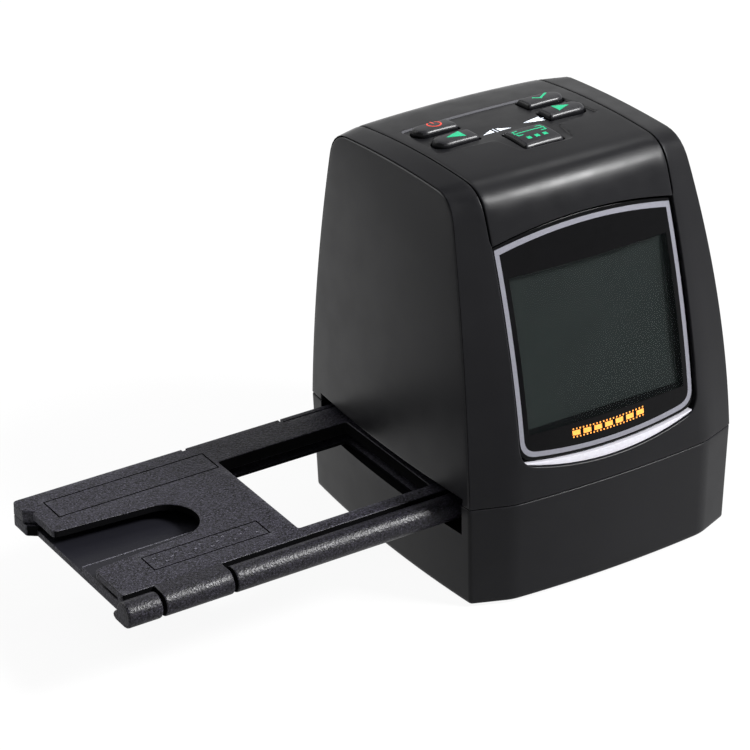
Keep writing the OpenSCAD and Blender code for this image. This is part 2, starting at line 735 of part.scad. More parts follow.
module sensor_screws() color([0.75, 0.75, 0.78]) for (s = [-1, 1]) {
    z = sensor_z + board_t + play;
    post(s * sensor_screw_x, window_y, z, z + head_h, head_r);
    post(s * sensor_screw_x, window_y, z - 6.5, z, screw_r);
}

module camera_ribbon() color([0.75, 0.45, 0.15])
    block([-5, window_y + 9, sensor_z + board_t + play],
          [5, board_y - play, sensor_z + board_t + play + ribbon_t]);

// ---- Light below the slot ----

module film_gate() color([0.1, 0.1, 0.1]) difference() {
    union() {
        block([-gate_w / 2, gate_y0, gate_z], [gate_w / 2, slot_back + 0.4, slot_floor]);
        // Guides before and behind the holder
        block([-deck_x, gate_y0, gate_z], [deck_x, hinge_y - barrel_r - slide_play, slot_floor + 5]);
        block([-guide_x, slot_back + 0.3, gate_z], [guide_x, guide_y, slot_floor + 5]);
    }
    gate_window = window_w / 2 + 1.9;
    block([-gate_window, window_y - gate_window, 0], [gate_window, window_y + gate_window, far]);
    block([detent_x - spring_l / 2 - 0.2, 0, slot_floor + 0.8],
          [detent_x + spring_l / 2 + 0.2, guide_y - 0.5, far]);
    for (s = [-1, 1], t = [-1, 1]) {
        post(s * gate_post[0], window_y + t * gate_post[1], 0, far, screw_r + 0.15);
        post(s * gate_post[0], window_y + t * gate_post[1], slot_floor - head_h - 0.1, far, head_r + 0.15);
    }
}

module gate_screws() color([0.75, 0.75, 0.78]) for (s = [-1, 1], t = [-1, 1]) {
    z = slot_floor - 0.1;
    post(s * gate_post[0], window_y + t * gate_post[1], z - head_h, z, head_r);
    post(s * gate_post[0], window_y + t * gate_post[1], z - 8, z - head_h, screw_r);
}

module detent_spring() color([0.75, 0.75, 0.78]) {
    y1 = guide_y - 0.5 - play;
    block([detent_x - spring_l / 2, y1 - 0.3, slot_floor + 1], [detent_x + spring_l / 2, y1, slot_floor + 4.6]);
    difference() {
        post(detent_x, y1 - 0.3, slot_floor + 1, slot_floor + 4.6, 1);
        block([detent_x - 2, y1 - 0.3, 0], [detent_x + 2, y1 + 2, far]);
    }
}

module diffuser() color([0.95, 0.95, 0.92])
    block([-light_w / 2, window_y - light_w / 2, diffuser_z],
          [light_w / 2, window_y + light_w / 2, gate_z - play]);

module light_box() color([0.93, 0.93, 0.93]) difference() {
    half = light_w / 2;
    block([-half, window_y - half, light_z], [half, window_y + half, light_z + light_h]);
    block([-half + 1.6, window_y - half + 1.6, light_z - over],
          [half - 1.6, window_y + half - 1.6, light_z + light_h + over]);
}

module led_board() color([0.9, 0.9, 0.9]) {
    block([-led_w / 2, window_y - led_w / 2, led_z], [led_w / 2, window_y + led_w / 2, led_z + board_t]);
    block([-4, window_y, led_z], [4, window_y + led_w / 2 + 2.4, led_z + board_t]);
}

module leds() color([1, 0.95, 0.7])
    for (i = [-1:1], j = [-1:1])
        translate([led_pitch * i, window_y + led_pitch * j, led_z + board_t + play])
            block([-led_l / 2, -led_d / 2, 0], [led_l / 2, led_d / 2, led_h]);

module led_ribbon() color([0.75, 0.45, 0.15]) along_x(-1.5, 1.5) {
    y0 = window_y + light_w / 2 + 0.3;
    y1 = socket_y + 1.15;
    z0 = led_z + board_t + play;
    translate([y0, z0]) square([y1 - y0, ribbon_t]);
    translate([y1 - ribbon_t, z0]) square([ribbon_t, board_z + 2 - z0]);
    translate([socket_y, board_z + 2 - ribbon_t]) square([y1 - socket_y, ribbon_t]);
}

// ---- Fasteners and feet ----

module case_screws() color([0.75, 0.75, 0.78]) for (s = [-1, 1]) {
    for (p = [housing_screw_front, housing_screw_back])
        screw_up(s * p[0], p[1], screw_seat - play,
                 (p[1] < 0 ? front_screw_top : board_z - 2) - 0.5 - screw_seat);
    screw_up(s * cover_screw[0], cover_screw[1], screw_seat - play, board_z - 4 - screw_seat);
}

module rubber_feet() color([0.05, 0.05, 0.05])
    for (s = [-1, 1], t = [-1, 1]) post(s * foot_x, t * foot_y, -foot_proud, foot_depth - play, foot_r);

// ---- Film holder ----

module holder_notches() for (x = [detent_x, detent_x - window_pitch])
    block([x - notch_w / 2, holder_y1 - notch_d, 0], [x + notch_w / 2, far, far]);

module holder_tray() color([0.09, 0.09, 0.1]) difference() {
    union() {
        block([holder_x0 + tray_end, tray_y0, holder_z], [holder_x1, holder_y1, parting_z]);
        // End block at the back, with its corner cut off
        translate([0, 0, holder_z]) linear_extrude(parting_z - holder_z) polygon([
            [holder_x0, holder_y1], [holder_x0, holder_y1 - 4.6], [holder_x0 + 2.7, holder_y1 - 6.8],
            [holder_x0 + 4, holder_y1 - 6.8], [holder_x0 + 4, holder_y1]]);
        // Barrel along the front
        rod(holder_x0, holder_x1, hinge_y, hinge_z, barrel_r);
        block([holder_x0, tray_y0, holder_z], [holder_x1, lid_y0, hinge_z]);
        // Rim that stands up behind the lid
        block([rim_x0, holder_y1 - rim_t, holder_z], [holder_x1, holder_y1, holder_top]);
    }
    // Floor of the thumb grip
    block([holder_x0 - over, hinge_y + 5.6, holder_z + grip_floor],
          [-window_pitch - window_w / 2 - 12, holder_y1 - 6.8, far]);
    for (x = window_x) {
        block([x - slide_w / 2, window_y - slide_w / 2, holder_z + tray_floor],
              [x + slide_w / 2, window_y + slide_w / 2, parting_z + play]);
        block([x - window_w / 2, window_y - window_d / 2, 0], [x + window_w / 2, window_y + window_d / 2, far]);
    }
    for (x = lid_knuckles) {
        block([x - knuckle_gap, -far, 0], [x + knuckle_l + knuckle_gap, hinge_y + barrel_r + 0.4, far]);
        rod(x - 8, x + knuckle_l + 8, hinge_y, hinge_z, pin_r + 0.02);
    }
    holder_notches();
}

module holder_lid() color([0.09, 0.09, 0.1]) {
    lid_z = parting_z + 0.1;
    lid_x0 = holder_x0 + lid_end;
    difference() {
        union() {
            difference() {
                union() {
                    block([lid_x0, lid_y0, lid_z], [holder_x1, holder_y1, holder_top]);
                    translate([0, 0, lid_z]) linear_extrude(holder_top - lid_z) polygon([
                        [holder_x0, holder_y1], [holder_x0, holder_y1 - 5.5],
                        [lid_x0 + 1, holder_y1 - 7.6], [lid_x0 + 1, holder_y1]]);
                }
                // Clearance behind the tray's barrel
                rod(holder_x0 - over, holder_x1 + over, hinge_y, hinge_z, barrel_r + knuckle_gap);
            }
            for (x = lid_knuckles) intersection() {
                union() {
                    rod(x, x + knuckle_l, hinge_y, hinge_z, barrel_r);
                    block([x, hinge_y, lid_z], [x + knuckle_l, lid_y0 + over, holder_top]);
                }
                block([x, -far, 0], [x + knuckle_l, far, holder_top]);
            }
        }
        for (x = lid_knuckles) rod(x - over, x + knuckle_l + over, hinge_y, hinge_z, pin_r + 0.06);
        for (x = window_x)
            block([x - window_w / 2, window_y - window_d / 2, 0],
                  [x + window_w / 2, window_y + window_d / 2, far]);
        // Hollow below the plate beside the first window
        block([holder_x0 - over, hinge_y + 5.6, 0],
              [-window_pitch - window_w / 2 - 4, holder_y1 - 9, holder_top - lid_plate]);
        // Thumb cut-out, open at the end
        post(lid_x0 + thumb_l - thumb_w / 2, thumb_y, 0, far, thumb_w / 2);
        block([holder_x0 - over, thumb_y - thumb_w / 2, 0],
              [lid_x0 + thumb_l - thumb_w / 2, thumb_y + thumb_w / 2, far]);
        // Room for the tray's rim
        block([rim_x0 - 0.6, holder_y1 - rim_t - 0.2, 0], [far, far, far]);
        holder_notches();
        // Engraved frames
        engraved([holder_x0 + 6.1, holder_y1 - 13.2], [holder_x0 + 51.5, holder_y1 - 4.6]);
        engraved([holder_x0 + 13.5, hinge_y + 8.8], [holder_x0 + 45.8, hinge_y + 15.7]);
    }
}

// A rectangular groove in the lid's top
module engraved(a, b) difference() {
    block([a[0], a[1], holder_top - groove], [b[0], b[1], far]);
    block([a[0] + groove, a[1] + groove, 0], [b[0] - groove, b[1] - groove, far]);
}

module hinge_pins() color([0.75, 0.75, 0.78])
    for (x = lid_knuckles) rod(x - 7.5, x + knuckle_l + 7.5, hinge_y, hinge_z, pin_r);

base_shell();
upper_housing();
side_panel(-1);  // left_side_panel
side_panel(1);  // right_side_panel
top_cover();
display_glass();
chin_trim();
lcd_module();
lcd_ribbon();
key(0);  // power_key
key(1);  // left_key
key(2);  // ok_key
key(3);  // right_key
key(4);  // scan_key
key_board();
key_switches();
key_board_screws();
key_ribbon();
main_board();
image_chip();
main_board_screws();
usb_socket();
tv_jack();
card_socket();
optical_hood();
lens_barrel();
front_lens();
rear_lens();
sensor_board();
image_sensor();
sensor_screws();
camera_ribbon();
film_gate();
gate_screws();
detent_spring();
diffuser();
light_box();
led_board();
leds();
led_ribbon();
case_screws();
rubber_feet();
holder_tray();
holder_lid();
hinge_pins();
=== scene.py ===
"""Film negative scanner: visual model over the CAD frame, in mm here and metres in the scene."""
import math

import bmesh
import bpy
import numpy as np
from mathutils import Matrix, Vector
from mathutils.geometry import delaunay_2d_cdt


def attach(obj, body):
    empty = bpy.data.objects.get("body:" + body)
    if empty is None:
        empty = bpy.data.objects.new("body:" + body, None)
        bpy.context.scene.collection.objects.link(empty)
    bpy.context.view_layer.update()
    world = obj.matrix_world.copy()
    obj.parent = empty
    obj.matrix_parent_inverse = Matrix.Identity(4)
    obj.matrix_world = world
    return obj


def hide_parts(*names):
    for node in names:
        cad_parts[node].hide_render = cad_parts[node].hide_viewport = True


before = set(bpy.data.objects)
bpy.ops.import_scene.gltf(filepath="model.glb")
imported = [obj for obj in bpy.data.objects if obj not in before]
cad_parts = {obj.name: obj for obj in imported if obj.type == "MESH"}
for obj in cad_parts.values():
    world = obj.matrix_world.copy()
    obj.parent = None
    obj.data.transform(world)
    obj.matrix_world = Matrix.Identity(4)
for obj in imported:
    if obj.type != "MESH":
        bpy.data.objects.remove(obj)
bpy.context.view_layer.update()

# ---------------------------------------------------------------- sizes of the part, mm

BASE_H, BODY_H = 27.2, 104.6
HALF_W, HALF_D = 42.15, 36.4  # half width at the base, half depth of the side panels
COVER_X = 27.4  # half width of the middle strip at the top, and of its lane on the skin
SEAM_EDGE_X = 29.5  # the same at the base
BAND = 9.0  # width of a corner band in the skin's own coordinates
RISE = BODY_H - BASE_H
SEAM = 0.2
SEAM_LOW, SEAM_HIGH = BASE_H - SEAM / 2, BASE_H + SEAM / 2
SLOT = (-33.4, 31.1, 19.0, 29.05)  # y0, y1, z0, z1 of the slot in both sides

BOW = 1.8  # how far a side panel bulges
SIDE_LEAN, FRONT_LEAN, BACK_LEAN = 6, 18.9, 2.4  # how far the faces come in on the way up
FRONT_CROWN, BACK_CROWN = 1.3, 0.7
SAG, BAND_SAG = 2.78, 2.05  # fall of the top towards front and back, in the middle and at the bands
TOP_R = 6  # rounding from front and back to the top

GLASS_HALF, GLASS_TOP, GLASS_RISE, GLASS_FOOT = 27.0, 90.4, 3.1, 37.7
GLASS_IN, GLASS_T = 1.1, 1.2  # recess and thickness of the window
CHIN_BELLY = 4.0  # how far the crescent's lower edge hangs in the middle

HOLDER_X0, HOLDER_X1, HOLDER_Y1 = -130.9, 36.0, 30.6
HOLDER_Z, PARTING_Z, HOLDER_TOP = 19.2, 22.3, 25.8
HINGE_Y, HINGE_Z, BARREL_R = -25.6, 22.5, 3.3
WINDOW_Y, PITCH = 0.8, 59.2


def climb(z):
    """Share of the way up the housing."""
    return max(0.0, z - BASE_H) / RISE


def dip(z):
    """Share of the way down the base."""
    return max(0.0, BASE_H - z) / BASE_H


def ease(t, early):
    return early * t + (1 - early) * t * t


def bevel_at(z):
    """How far a side panel's edge stands behind the seam."""
    return 4 - 1.75 * climb(z)


def side_x(z):
    return HALF_W - BOW - SIDE_LEAN * ease(climb(z), 0.26) - 0.7 * dip(z)


def bow_at(z):
    return BOW * (1 - 0.4 * climb(z))


def edge_x(z):
    """Half width of the middle strip."""
    return max(COVER_X, SEAM_EDGE_X - (SEAM_EDGE_X - COVER_X) * climb(z) / 0.8)


# q goes from 0 at the seam to 1 at the side panel, bow from 0 at the seam to 1 in the middle,
# i is an inset


def front_y(z, q, bow, i=0.0):
    lean = FRONT_LEAN * ease(climb(z), 0.36)
    return -HALF_D + i + lean - (1 - q) * bevel_at(z) - FRONT_CROWN * bow


def back_y(z, q, bow, i=0.0):
    lean = BACK_LEAN * climb(z) ** 2
    return HALF_D - i - lean - 1.3 * dip(z) + (1 - q) * bevel_at(z) + BACK_CROWN * bow


def top_z(y, q, bow, i=0.0):
    sag = SAG + (BAND_SAG - SAG) * q
    return BODY_H - i - 0.55 * (1 - bow) - 1.05 * q - sag * ((y + 4) / HALF_D) ** 2


# ---------------------------------------------------------------- the casing's skin
# Coordinates on the skin: u runs across (|u| up to COVER_X on the middle strip, then BAND more
# over a corner band), w runs up the front, over the top and down the back, d goes into the wall.

WB = [0.0, 71.0, 80.0, 126.0, 135.0, 206.0]  # w at the ends of front, curve, top, curve and back
CREASE = 1.3


def lane_of(u):
    """q and bow of a place on the skin."""
    a = abs(u)
    q = min(1.0, max(0.0, (a - COVER_X) / BAND))
    return q, (1 - (a / COVER_X) ** 2 if a < COVER_X else 0.0)


def corners(q, bow, j):
    """Rounding of the top's corners, and z and y of the front and the back one, at an inset j."""
    r = TOP_R - j / 2
    fz = top_z(front_y(BODY_H, q, bow, j), q, bow, j)
    bz = top_z(back_y(BODY_H, q, bow, j), q, bow, j)
    return r, fz, front_y(fz, q, bow, j), bz, back_y(bz, q, bow, j)


def across(u, z, i):
    """Distance from the middle plane of a place on the skin at height z."""
    a = abs(u)
    if a <= COVER_X:
        x = a / COVER_X * edge_x(z)
    else:
        q = (a - COVER_X) / BAND
        x = edge_x(z) + q * (side_x(z) - edge_x(z)) - i * q**3
    return math.copysign(x, u)


def crease(u, s):
    """Rounding of the soft edge between the middle strip and a band."""
    a = abs(u) - COVER_X
    if abs(a) >= CREASE:
        return 0.0
    top = min(1.0, max(0.0, s - 1)) * min(1.0, max(0.0, 4 - s))
    return (0.28 * (1 - top) + 0.1 * top) * (CREASE - abs(a)) ** 2 / (4 * CREASE)


def skin_s(u, s, i=0.0):
    """Point of the skin; s counts the stretches between the stations in WB."""
    q, bow = lane_of(u)
    j = i * (1 - q**3) + crease(u, s)
    r, fz, fy, bz, by = corners(q, bow, j)
    if s <= 1:
        z = BASE_H + s * (fz - r - BASE_H)
        y = front_y(z, q, bow, j)
    elif s <= 2:
        t = s - 1
        a = (front_y(fz - r, q, bow, j), fz - r)
        c = (fy + r, top_z(fy + r, q, bow, j))
        y = (1 - t) ** 2 * a[0] + 2 * t * (1 - t) * fy + t * t * c[0]
        z = (1 - t) ** 2 * a[1] + 2 * t * (1 - t) * fz + t * t * c[1]
    elif s <= 3:
        y = fy + r + (s - 2) * (by - fy - 2 * r)
        z = top_z(y, q, bow, j)
    elif s <= 4:
        t = s - 3
        a = (by - r, top_z(by - r, q, bow, j))
        c = (back_y(bz - r, q, bow, j), bz - r)
        y = (1 - t) ** 2 * a[0] + 2 * t * (1 - t) * by + t * t * c[0]
        z = (1 - t) ** 2 * a[1] + 2 * t * (1 - t) * bz + t * t * c[1]
    else:
        z = bz - r - (s - 4) * (bz - r - BASE_H)
        y = back_y(z, q, bow, j)
    return (across(u, z, i), y, z)


def skin(u, w, i=0.0):
    k = max(0, min(4, int(np.searchsorted(WB, w, side="right")) - 1))
    return skin_s(u, k + (w - WB[k]) / (WB[k + 1] - WB[k]), i)


def w_of(s):
    k = max(0, min(4, int(s)))
    return WB[k] + (s - k) * (WB[k + 1] - WB[k])


def u_of(x, z):
    """Inverse of across, on the middle strip and the bands."""
    a, e = abs(x), edge_x(z)
    if a <= e:
        return math.copysign(a / e * COVER_X, x)
    return math.copysign(COVER_X + BAND * (a - e) / (side_x(z) - e), x)


def on_front(x, z):
    """Skin coordinates of a place on the front; on_back and on_top do the same there."""
    u = u_of(x, z)
    q, bow = lane_of(u)
    r, fz = corners(q, bow, 0.0)[:2]
    return (u, w_of((z - BASE_H) / (fz - r - BASE_H)))


def on_back(x, z):
    u = u_of(x, z)
    q, bow = lane_of(u)
    r, bz = corners(q, bow, 0.0)[::3]
    return (u, w_of(4 + (bz - r - z) / (bz - r - BASE_H)))


def on_top(x, y):
    u = u_of(x, 100.0)
    q, bow = lane_of(u)
    r, _, fy, _, by = corners(q, bow, 0.0)
    return (u, w_of(2 + (y - fy - r) / (by - fy - 2 * r)))


def side_skin(sign):
    """Outer face of a side panel. u is y, mirrored on the left to keep faces outwards; v is z."""
    flat_top = 84.0  # above this height the bulge fades out

    def place(u, v, d):
        y = sign * u
        y0, y1 = front_y(v, 1, 0), back_y(v, 1, 0)
        t = min(1.0, max(0.0, (y - y0) / (y1 - y0)))
        top = top_z(y, 1, 0)
        f = min(1.0, max(0.0, (v - flat_top) / (top - flat_top)))
        bow = bow_at(v) * (1 - (2 * t - 1) ** 2) * (1 - f * f)
        return (sign * (side_x(v) + bow - d), y, v)

    return place


# ---------------------------------------------------------------- mesh tools


def around(n):
    """Neighbouring stations of a closed row: (0, 1), (1, 2) ... (n - 1, 0)."""
    return [(k, (k + 1) % n) for k in range(n)]


def bend(a, b, c, n):
    """n + 1 points of a curve from a to c that heads for b."""
    return [
        tuple((1 - t) ** 2 * a[k] + 2 * t * (1 - t) * b[k] + t * t * c[k] for k in (0, 1))
        for t in [m / n for m in range(n + 1)]
    ]


def rounded(points, radii, n=5):
    """A closed polygon with its corners rounded; radii is one number or one per corner."""
    out, m = [], len(points)
    for k, p in enumerate(points):
        r = radii[k] if isinstance(radii, (list, tuple)) else radii
        if r <= 0:
            out.append(tuple(p))
            continue
        a, b = np.array(points[k - 1], float), np.array(points[(k + 1) % m], float)
        p = np.array(p, float)
        da, db = (a - p) / np.linalg.norm(a - p), (b - p) / np.linalg.norm(b - p)
        half = math.acos(max(-1.0, min(1.0, float(da @ db)))) / 2
        reach = min(r / math.tan(half), 0.49 * np.linalg.norm(a - p), 0.49 * np.linalg.norm(b - p))
        out += bend(p + da * reach, p, p + db * reach, n)
    return out


def rect(x0, y0, x1, y1):
    return [(x0, y0), (x1, y0), (x1, y1), (x0, y1)]


def circle(x, y, r, n):
    turn = [2 * math.pi * k / n for k in range(n)]
    return [(x + r * math.cos(t), y + r * math.sin(t)) for t in turn]


def resample(points, step):
    """A closed loop with its sides cut into parts of step or less."""
    out = []
    for k, m in around(len(points)):
        a, b = np.array(points[k], float), np.array(points[m], float)
        parts = max(1, int(math.ceil(np.linalg.norm(b - a) / step)))
        out += [tuple(a + (b - a) * t / parts) for t in range(parts)]
    return out


def area(loop):
    p = np.array(loop, float)
    q = np.roll(p, -1, 0)
    return 0.5 * float((p[:, 0] * q[:, 1] - p[:, 1] * q[:, 0]).sum())


def ccw(loop):
    return list(loop) if area(loop) > 0 else list(loop)[::-1]


def cw(loop):
    return ccw(loop)[::-1]


def offset(loop, by):
    """Moves a closed loop to its left by a distance, with mitred corners."""
    if by == 0:
        return [tuple(p) for p in loop]
    p = np.array(loop, float)
    d = np.roll(p, -1, 0) - p
    d /= np.maximum(np.linalg.norm(d, axis=1), 1e-9)[:, None]
    n2 = np.stack([-d[:, 1], d[:, 0]], 1)
    n1 = np.roll(n2, 1, 0)
    m = (n1 + n2) / np.maximum(1 + (n1 * n2).sum(1), 0.35)[:, None]
    return [tuple(v) for v in p + by * m]


def inside(loop, pts):
    """Which of the points lie inside a closed loop."""
    p = np.array(loop, float)
    q = np.roll(p, -1, 0)
    x, y = pts[:, 0][:, None], pts[:, 1][:, None]
    hit = (p[:, 1][None] > y) != (q[:, 1][None] > y)
    dy = q[:, 1] - p[:, 1]
    dy[np.abs(dy) < 1e-12] = 1e-12
    cut = p[:, 0][None] + (y - p[:, 1][None]) * ((q[:, 0] - p[:, 0]) / dy)[None]
    return (hit & (x < cut)).sum(1) % 2 == 1


def clear_of(loop, pts, gap):
    """Which of the points keep more than a gap from a loop."""
    p = np.array(loop, float)
    d = np.roll(p, -1, 0) - p
    rel = pts[:, None] - p[None]
    t = np.clip((rel * d[None]).sum(2) / np.maximum((d * d).sum(1), 1e-12)[None], 0, 1)
    near = np.linalg.norm(rel - t[..., None] * d[None], axis=2).min(1)
    return near > gap


def lip(r, deep=0.0):
    """Profile of a rounded edge as (offset, depth) rows, then straight down to deep."""
    turn = [math.pi / 2 * k / 3 for k in range(4)]
    rows = [(r * (1 - math.sin(a)), r * (1 - math.cos(a))) for a in turn]
    return rows + ([(0.0, deep)] if deep > r else [])


class Mesh:
    """Points, faces and their material slots; points with the same key are kept once."""

    def __init__(self):
        self.points, self.faces, self.slots, self.index = [], [], [], {}

    def spot(self, key, point):
        key = tuple(round(c, 4) for c in key)
        if key not in self.index:
            self.index[key] = len(self.points)
            self.points.append(point())
        return self.index[key]

    def face(self, ids, slot=0):
        ids = [i for k, i in enumerate(ids) if i != ids[k - 1]]
        if len(set(ids)) > 2:
            self.faces.append(ids)
            self.slots.append(slot)


class Solid(Mesh):
    """Faces from points in mm, for shapes that aren't laid on a skin."""

    def face(self, pts, slot=0):
        super().face([self.spot(p, lambda: tuple(float(c) for c in p)) for p in pts], slot)


class Shell(Mesh):
    """One closed surface, built from flat loops that a place function lays onto the real shape."""

    def __init__(self, place):
        super().__init__()
        self.place = place

    def vert(self, u, v, d):
        d = d(u, v) if callable(d) else d
        return self.spot((u, v, d), lambda: self.place(u, v, d))

    def walls(self, loop, profile, slot=0):
        """Walls along a loop, through (offset, depth) rows."""
        rows = [[self.vert(u, v, d) for u, v in offset(loop, o)] for o, d in profile]
        for a, b in zip(rows, rows[1:]):
            for k, m in around(len(a)):
                self.face([a[k], b[k], b[m], a[m]], slot)

    def sheet(self, outer, holes=(), depth=0.0, step=2.0, flip=False, slot=0, cuts=()):
        """A face with holes over a grid of about step; cuts are loops that its edges follow."""
        loops = [list(loop) for loop in (outer, *holes, *cuts)]
        flat, edges = [], []
        for loop in loops:
            edges += [(len(flat) + k, len(flat) + m) for k, m in around(len(loop))]
            flat += loop
        p = np.array(outer, float)
        lo, hi = p.min(0), p.max(0)
        nx, ny = (max(1, round((hi[k] - lo[k]) / step)) for k in (0, 1))
        gx = lo[0] + (hi[0] - lo[0]) * (np.arange(nx) + 0.5) / nx
        gy = lo[1] + (hi[1] - lo[1]) * (np.arange(ny) + 0.5) / ny
        grid = np.stack(np.meshgrid(gx, gy), 2).reshape(-1, 2)
        grid = grid[inside(outer, grid)]
        for h in holes:
            grid = grid[~inside(h, grid)]
        for loop in loops:
            grid = grid[clear_of(loop, grid, 0.4 * step)]
        flat += [tuple(g) for g in grid]
        res = delaunay_2d_cdt([Vector(f) for f in flat], edges, [], 0, 1e-6, True)
        spots = [tuple(flat[o[0]]) if o else tuple(v) for v, o in zip(res[0], res[3])]
        mid = np.array([np.mean([spots[i] for i in f], 0) for f in res[2]])
        keep = inside(outer, mid)
        for h in holes:
            keep &= ~inside(h, mid)
        for f, ok, m in zip(res[2], keep, mid):
            if not ok:
                continue
            f = list(f)
            if area([spots[i] for i in f]) < 0:
                f.reverse()
            ids = [self.vert(*spots[i], depth) for i in f]
            self.face(ids[::-1] if flip else ids, slot(m) if callable(slot) else slot)

    def plate(self, outer, holes=(), thick=1.0, edge=0.0, step=2.0, slot=0, back_edge=0.0,
              hole_edge=None, back_slot=0, cuts=()):
        """A plate with a rounded front rim, straight walls and an inner face."""
        outer, holes = ccw(outer), [cw(h) for h in holes]
        hole_edge = edge if hole_edge is None else hole_edge
        front_holes = [offset(h, hole_edge) for h in holes]
        self.sheet(offset(outer, edge), front_holes, 0.0, step, slot=slot, cuts=cuts)
        for loop, e in [(outer, edge)] + [(h, hole_edge) for h in holes]:
            rows = lip(e) if e else [(0.0, 0.0)]
            if back_edge:
                rows += [(o, thick - d) for o, d in lip(back_edge)][::-1]
            else:
                rows += [(0.0, thick)]
            self.walls(loop, rows)
        inner = [offset(h, back_edge) for h in holes]
        self.sheet(offset(outer, back_edge), inner, thick, step * 1.5, flip=True, slot=back_slot)


WELD = 0.02
SHARP = math.radians(38)


def weld(sh):
    """Points of a shell that almost meet become one, and the hairline gaps left over are filled."""
    b = bmesh.new()
    verts = [b.verts.new(p) for p in sh.points]
    for f, slot in zip(sh.faces, sh.slots):
        try:
            b.faces.new([verts[i] for i in f]).material_index = slot
        except ValueError:
            continue
    bmesh.ops.remove_doubles(b, verts=b.verts, dist=WELD)
    bmesh.ops.dissolve_degenerate(b, edges=b.edges, dist=WELD / 2)
    bmesh.ops.holes_fill(b, edges=[e for e in b.edges if e.is_boundary], sides=0)
    b.verts.index_update()
    used = [v for v in b.verts if v.link_faces]
    number = {v.index: i for i, v in enumerate(used)}
    faces = [[number[v.index] for v in f.verts] for f in b.faces]
    slots = [f.material_index for f in b.faces]
    points = [tuple(v.co) for v in used]
    b.free()
    return points, faces, slots


def make(name, shells, nodes, body, materials):
    """Joins shells into one object in metres, smooth with sharp creases marked."""
    points, faces, slots = [], [], []
    for sh in shells:
        at = len(points)
        p_in, f_in, s_in = weld(sh)
        points += [tuple(c * 0.001 for c in p) for p in p_in]
        faces += [[i + at for i in f] for f in f_in]
        slots += s_in
    mesh = bpy.data.meshes.new(name)
    mesh.from_pydata(points, [], faces)
    for m in materials:
        mesh.materials.append(m)
    mesh.polygons.foreach_set("material_index", slots)
    mesh.polygons.foreach_set("use_smooth", [True] * len(faces))
    mesh.set_sharp_from_angle(angle=SHARP)
    obj = bpy.data.objects.new(name, mesh)
    bpy.context.scene.collection.objects.link(obj)
    obj.modifiers.new("normals", "WEIGHTED_NORMAL").keep_sharp = True
    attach(obj, body)
    if nodes:
        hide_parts(*nodes)


# ---------------------------------------------------------------- materials


def rgb(r, g, b):
    def lin(c):
        c /= 255
        return c / 12.92 if c <= 0.04045 else ((c + 0.055) / 1.055) ** 2.4  # from sRGB

    return (lin(r), lin(g), lin(b), 1.0)


class Nodes:
    """Short ways to add nodes to a tree."""

    def __init__(self, tree):
        self.tree = tree

    def node(self, kind, **values):
        """A new node; values set its inputs, with _ for a blank."""
        n = self.tree.nodes.new("ShaderNode" + kind)
        for key, value in values.items():
            n.inputs[key.replace("_", " ")].default_value = value
        return n

    def feed(self, socket, value):
        """Links an output to an input, or sets the input to a value."""
        if isinstance(value, bpy.types.NodeSocket):
            self.tree.links.new(value, socket)
        else:
            socket.default_value = value

    def ramp(self, value, lo, hi, a, b):
        """Maps value from lo..hi to a..b, clamped."""
        n = self.node("MapRange", From_Min=lo, From_Max=hi, To_Min=a, To_Max=b)
        self.feed(n.inputs["Value"], value)
        return n.outputs["Result"]

    def math(self, op, a, b):
        n = self.node("Math")
        n.operation = op
        self.feed(n.inputs[0], a)
        self.feed(n.inputs[1], b)
        return n.outputs[0]

    def mix(self, fac, a, b):
        n = self.node("Mix")
        n.data_type = "RGBA"
        for k, value in ((0, fac), (6, a), (7, b)):  # the colour sockets
            self.feed(n.inputs[k], value)
        return n.outputs[2]

    def seen(self):
        """1 for rays of the camera, of gloss and through glass."""
        path = self.node("LightPath").outputs
        either = self.math("MAXIMUM", path["Is Camera Ray"], path["Is Glossy Ray"])
        return self.math("MAXIMUM", either, path["Is Transmission Ray"])

    def choose(self, fac, first, second, output):
        """Blends two shaders into an output node."""
        n = self.node("MixShader")
        for socket, value in zip(n.inputs, (fac, first.outputs[0], second.outputs[0])):
            self.feed(socket, value)
        self.feed(self.tree.nodes[output].inputs["Surface"], n.outputs[0])


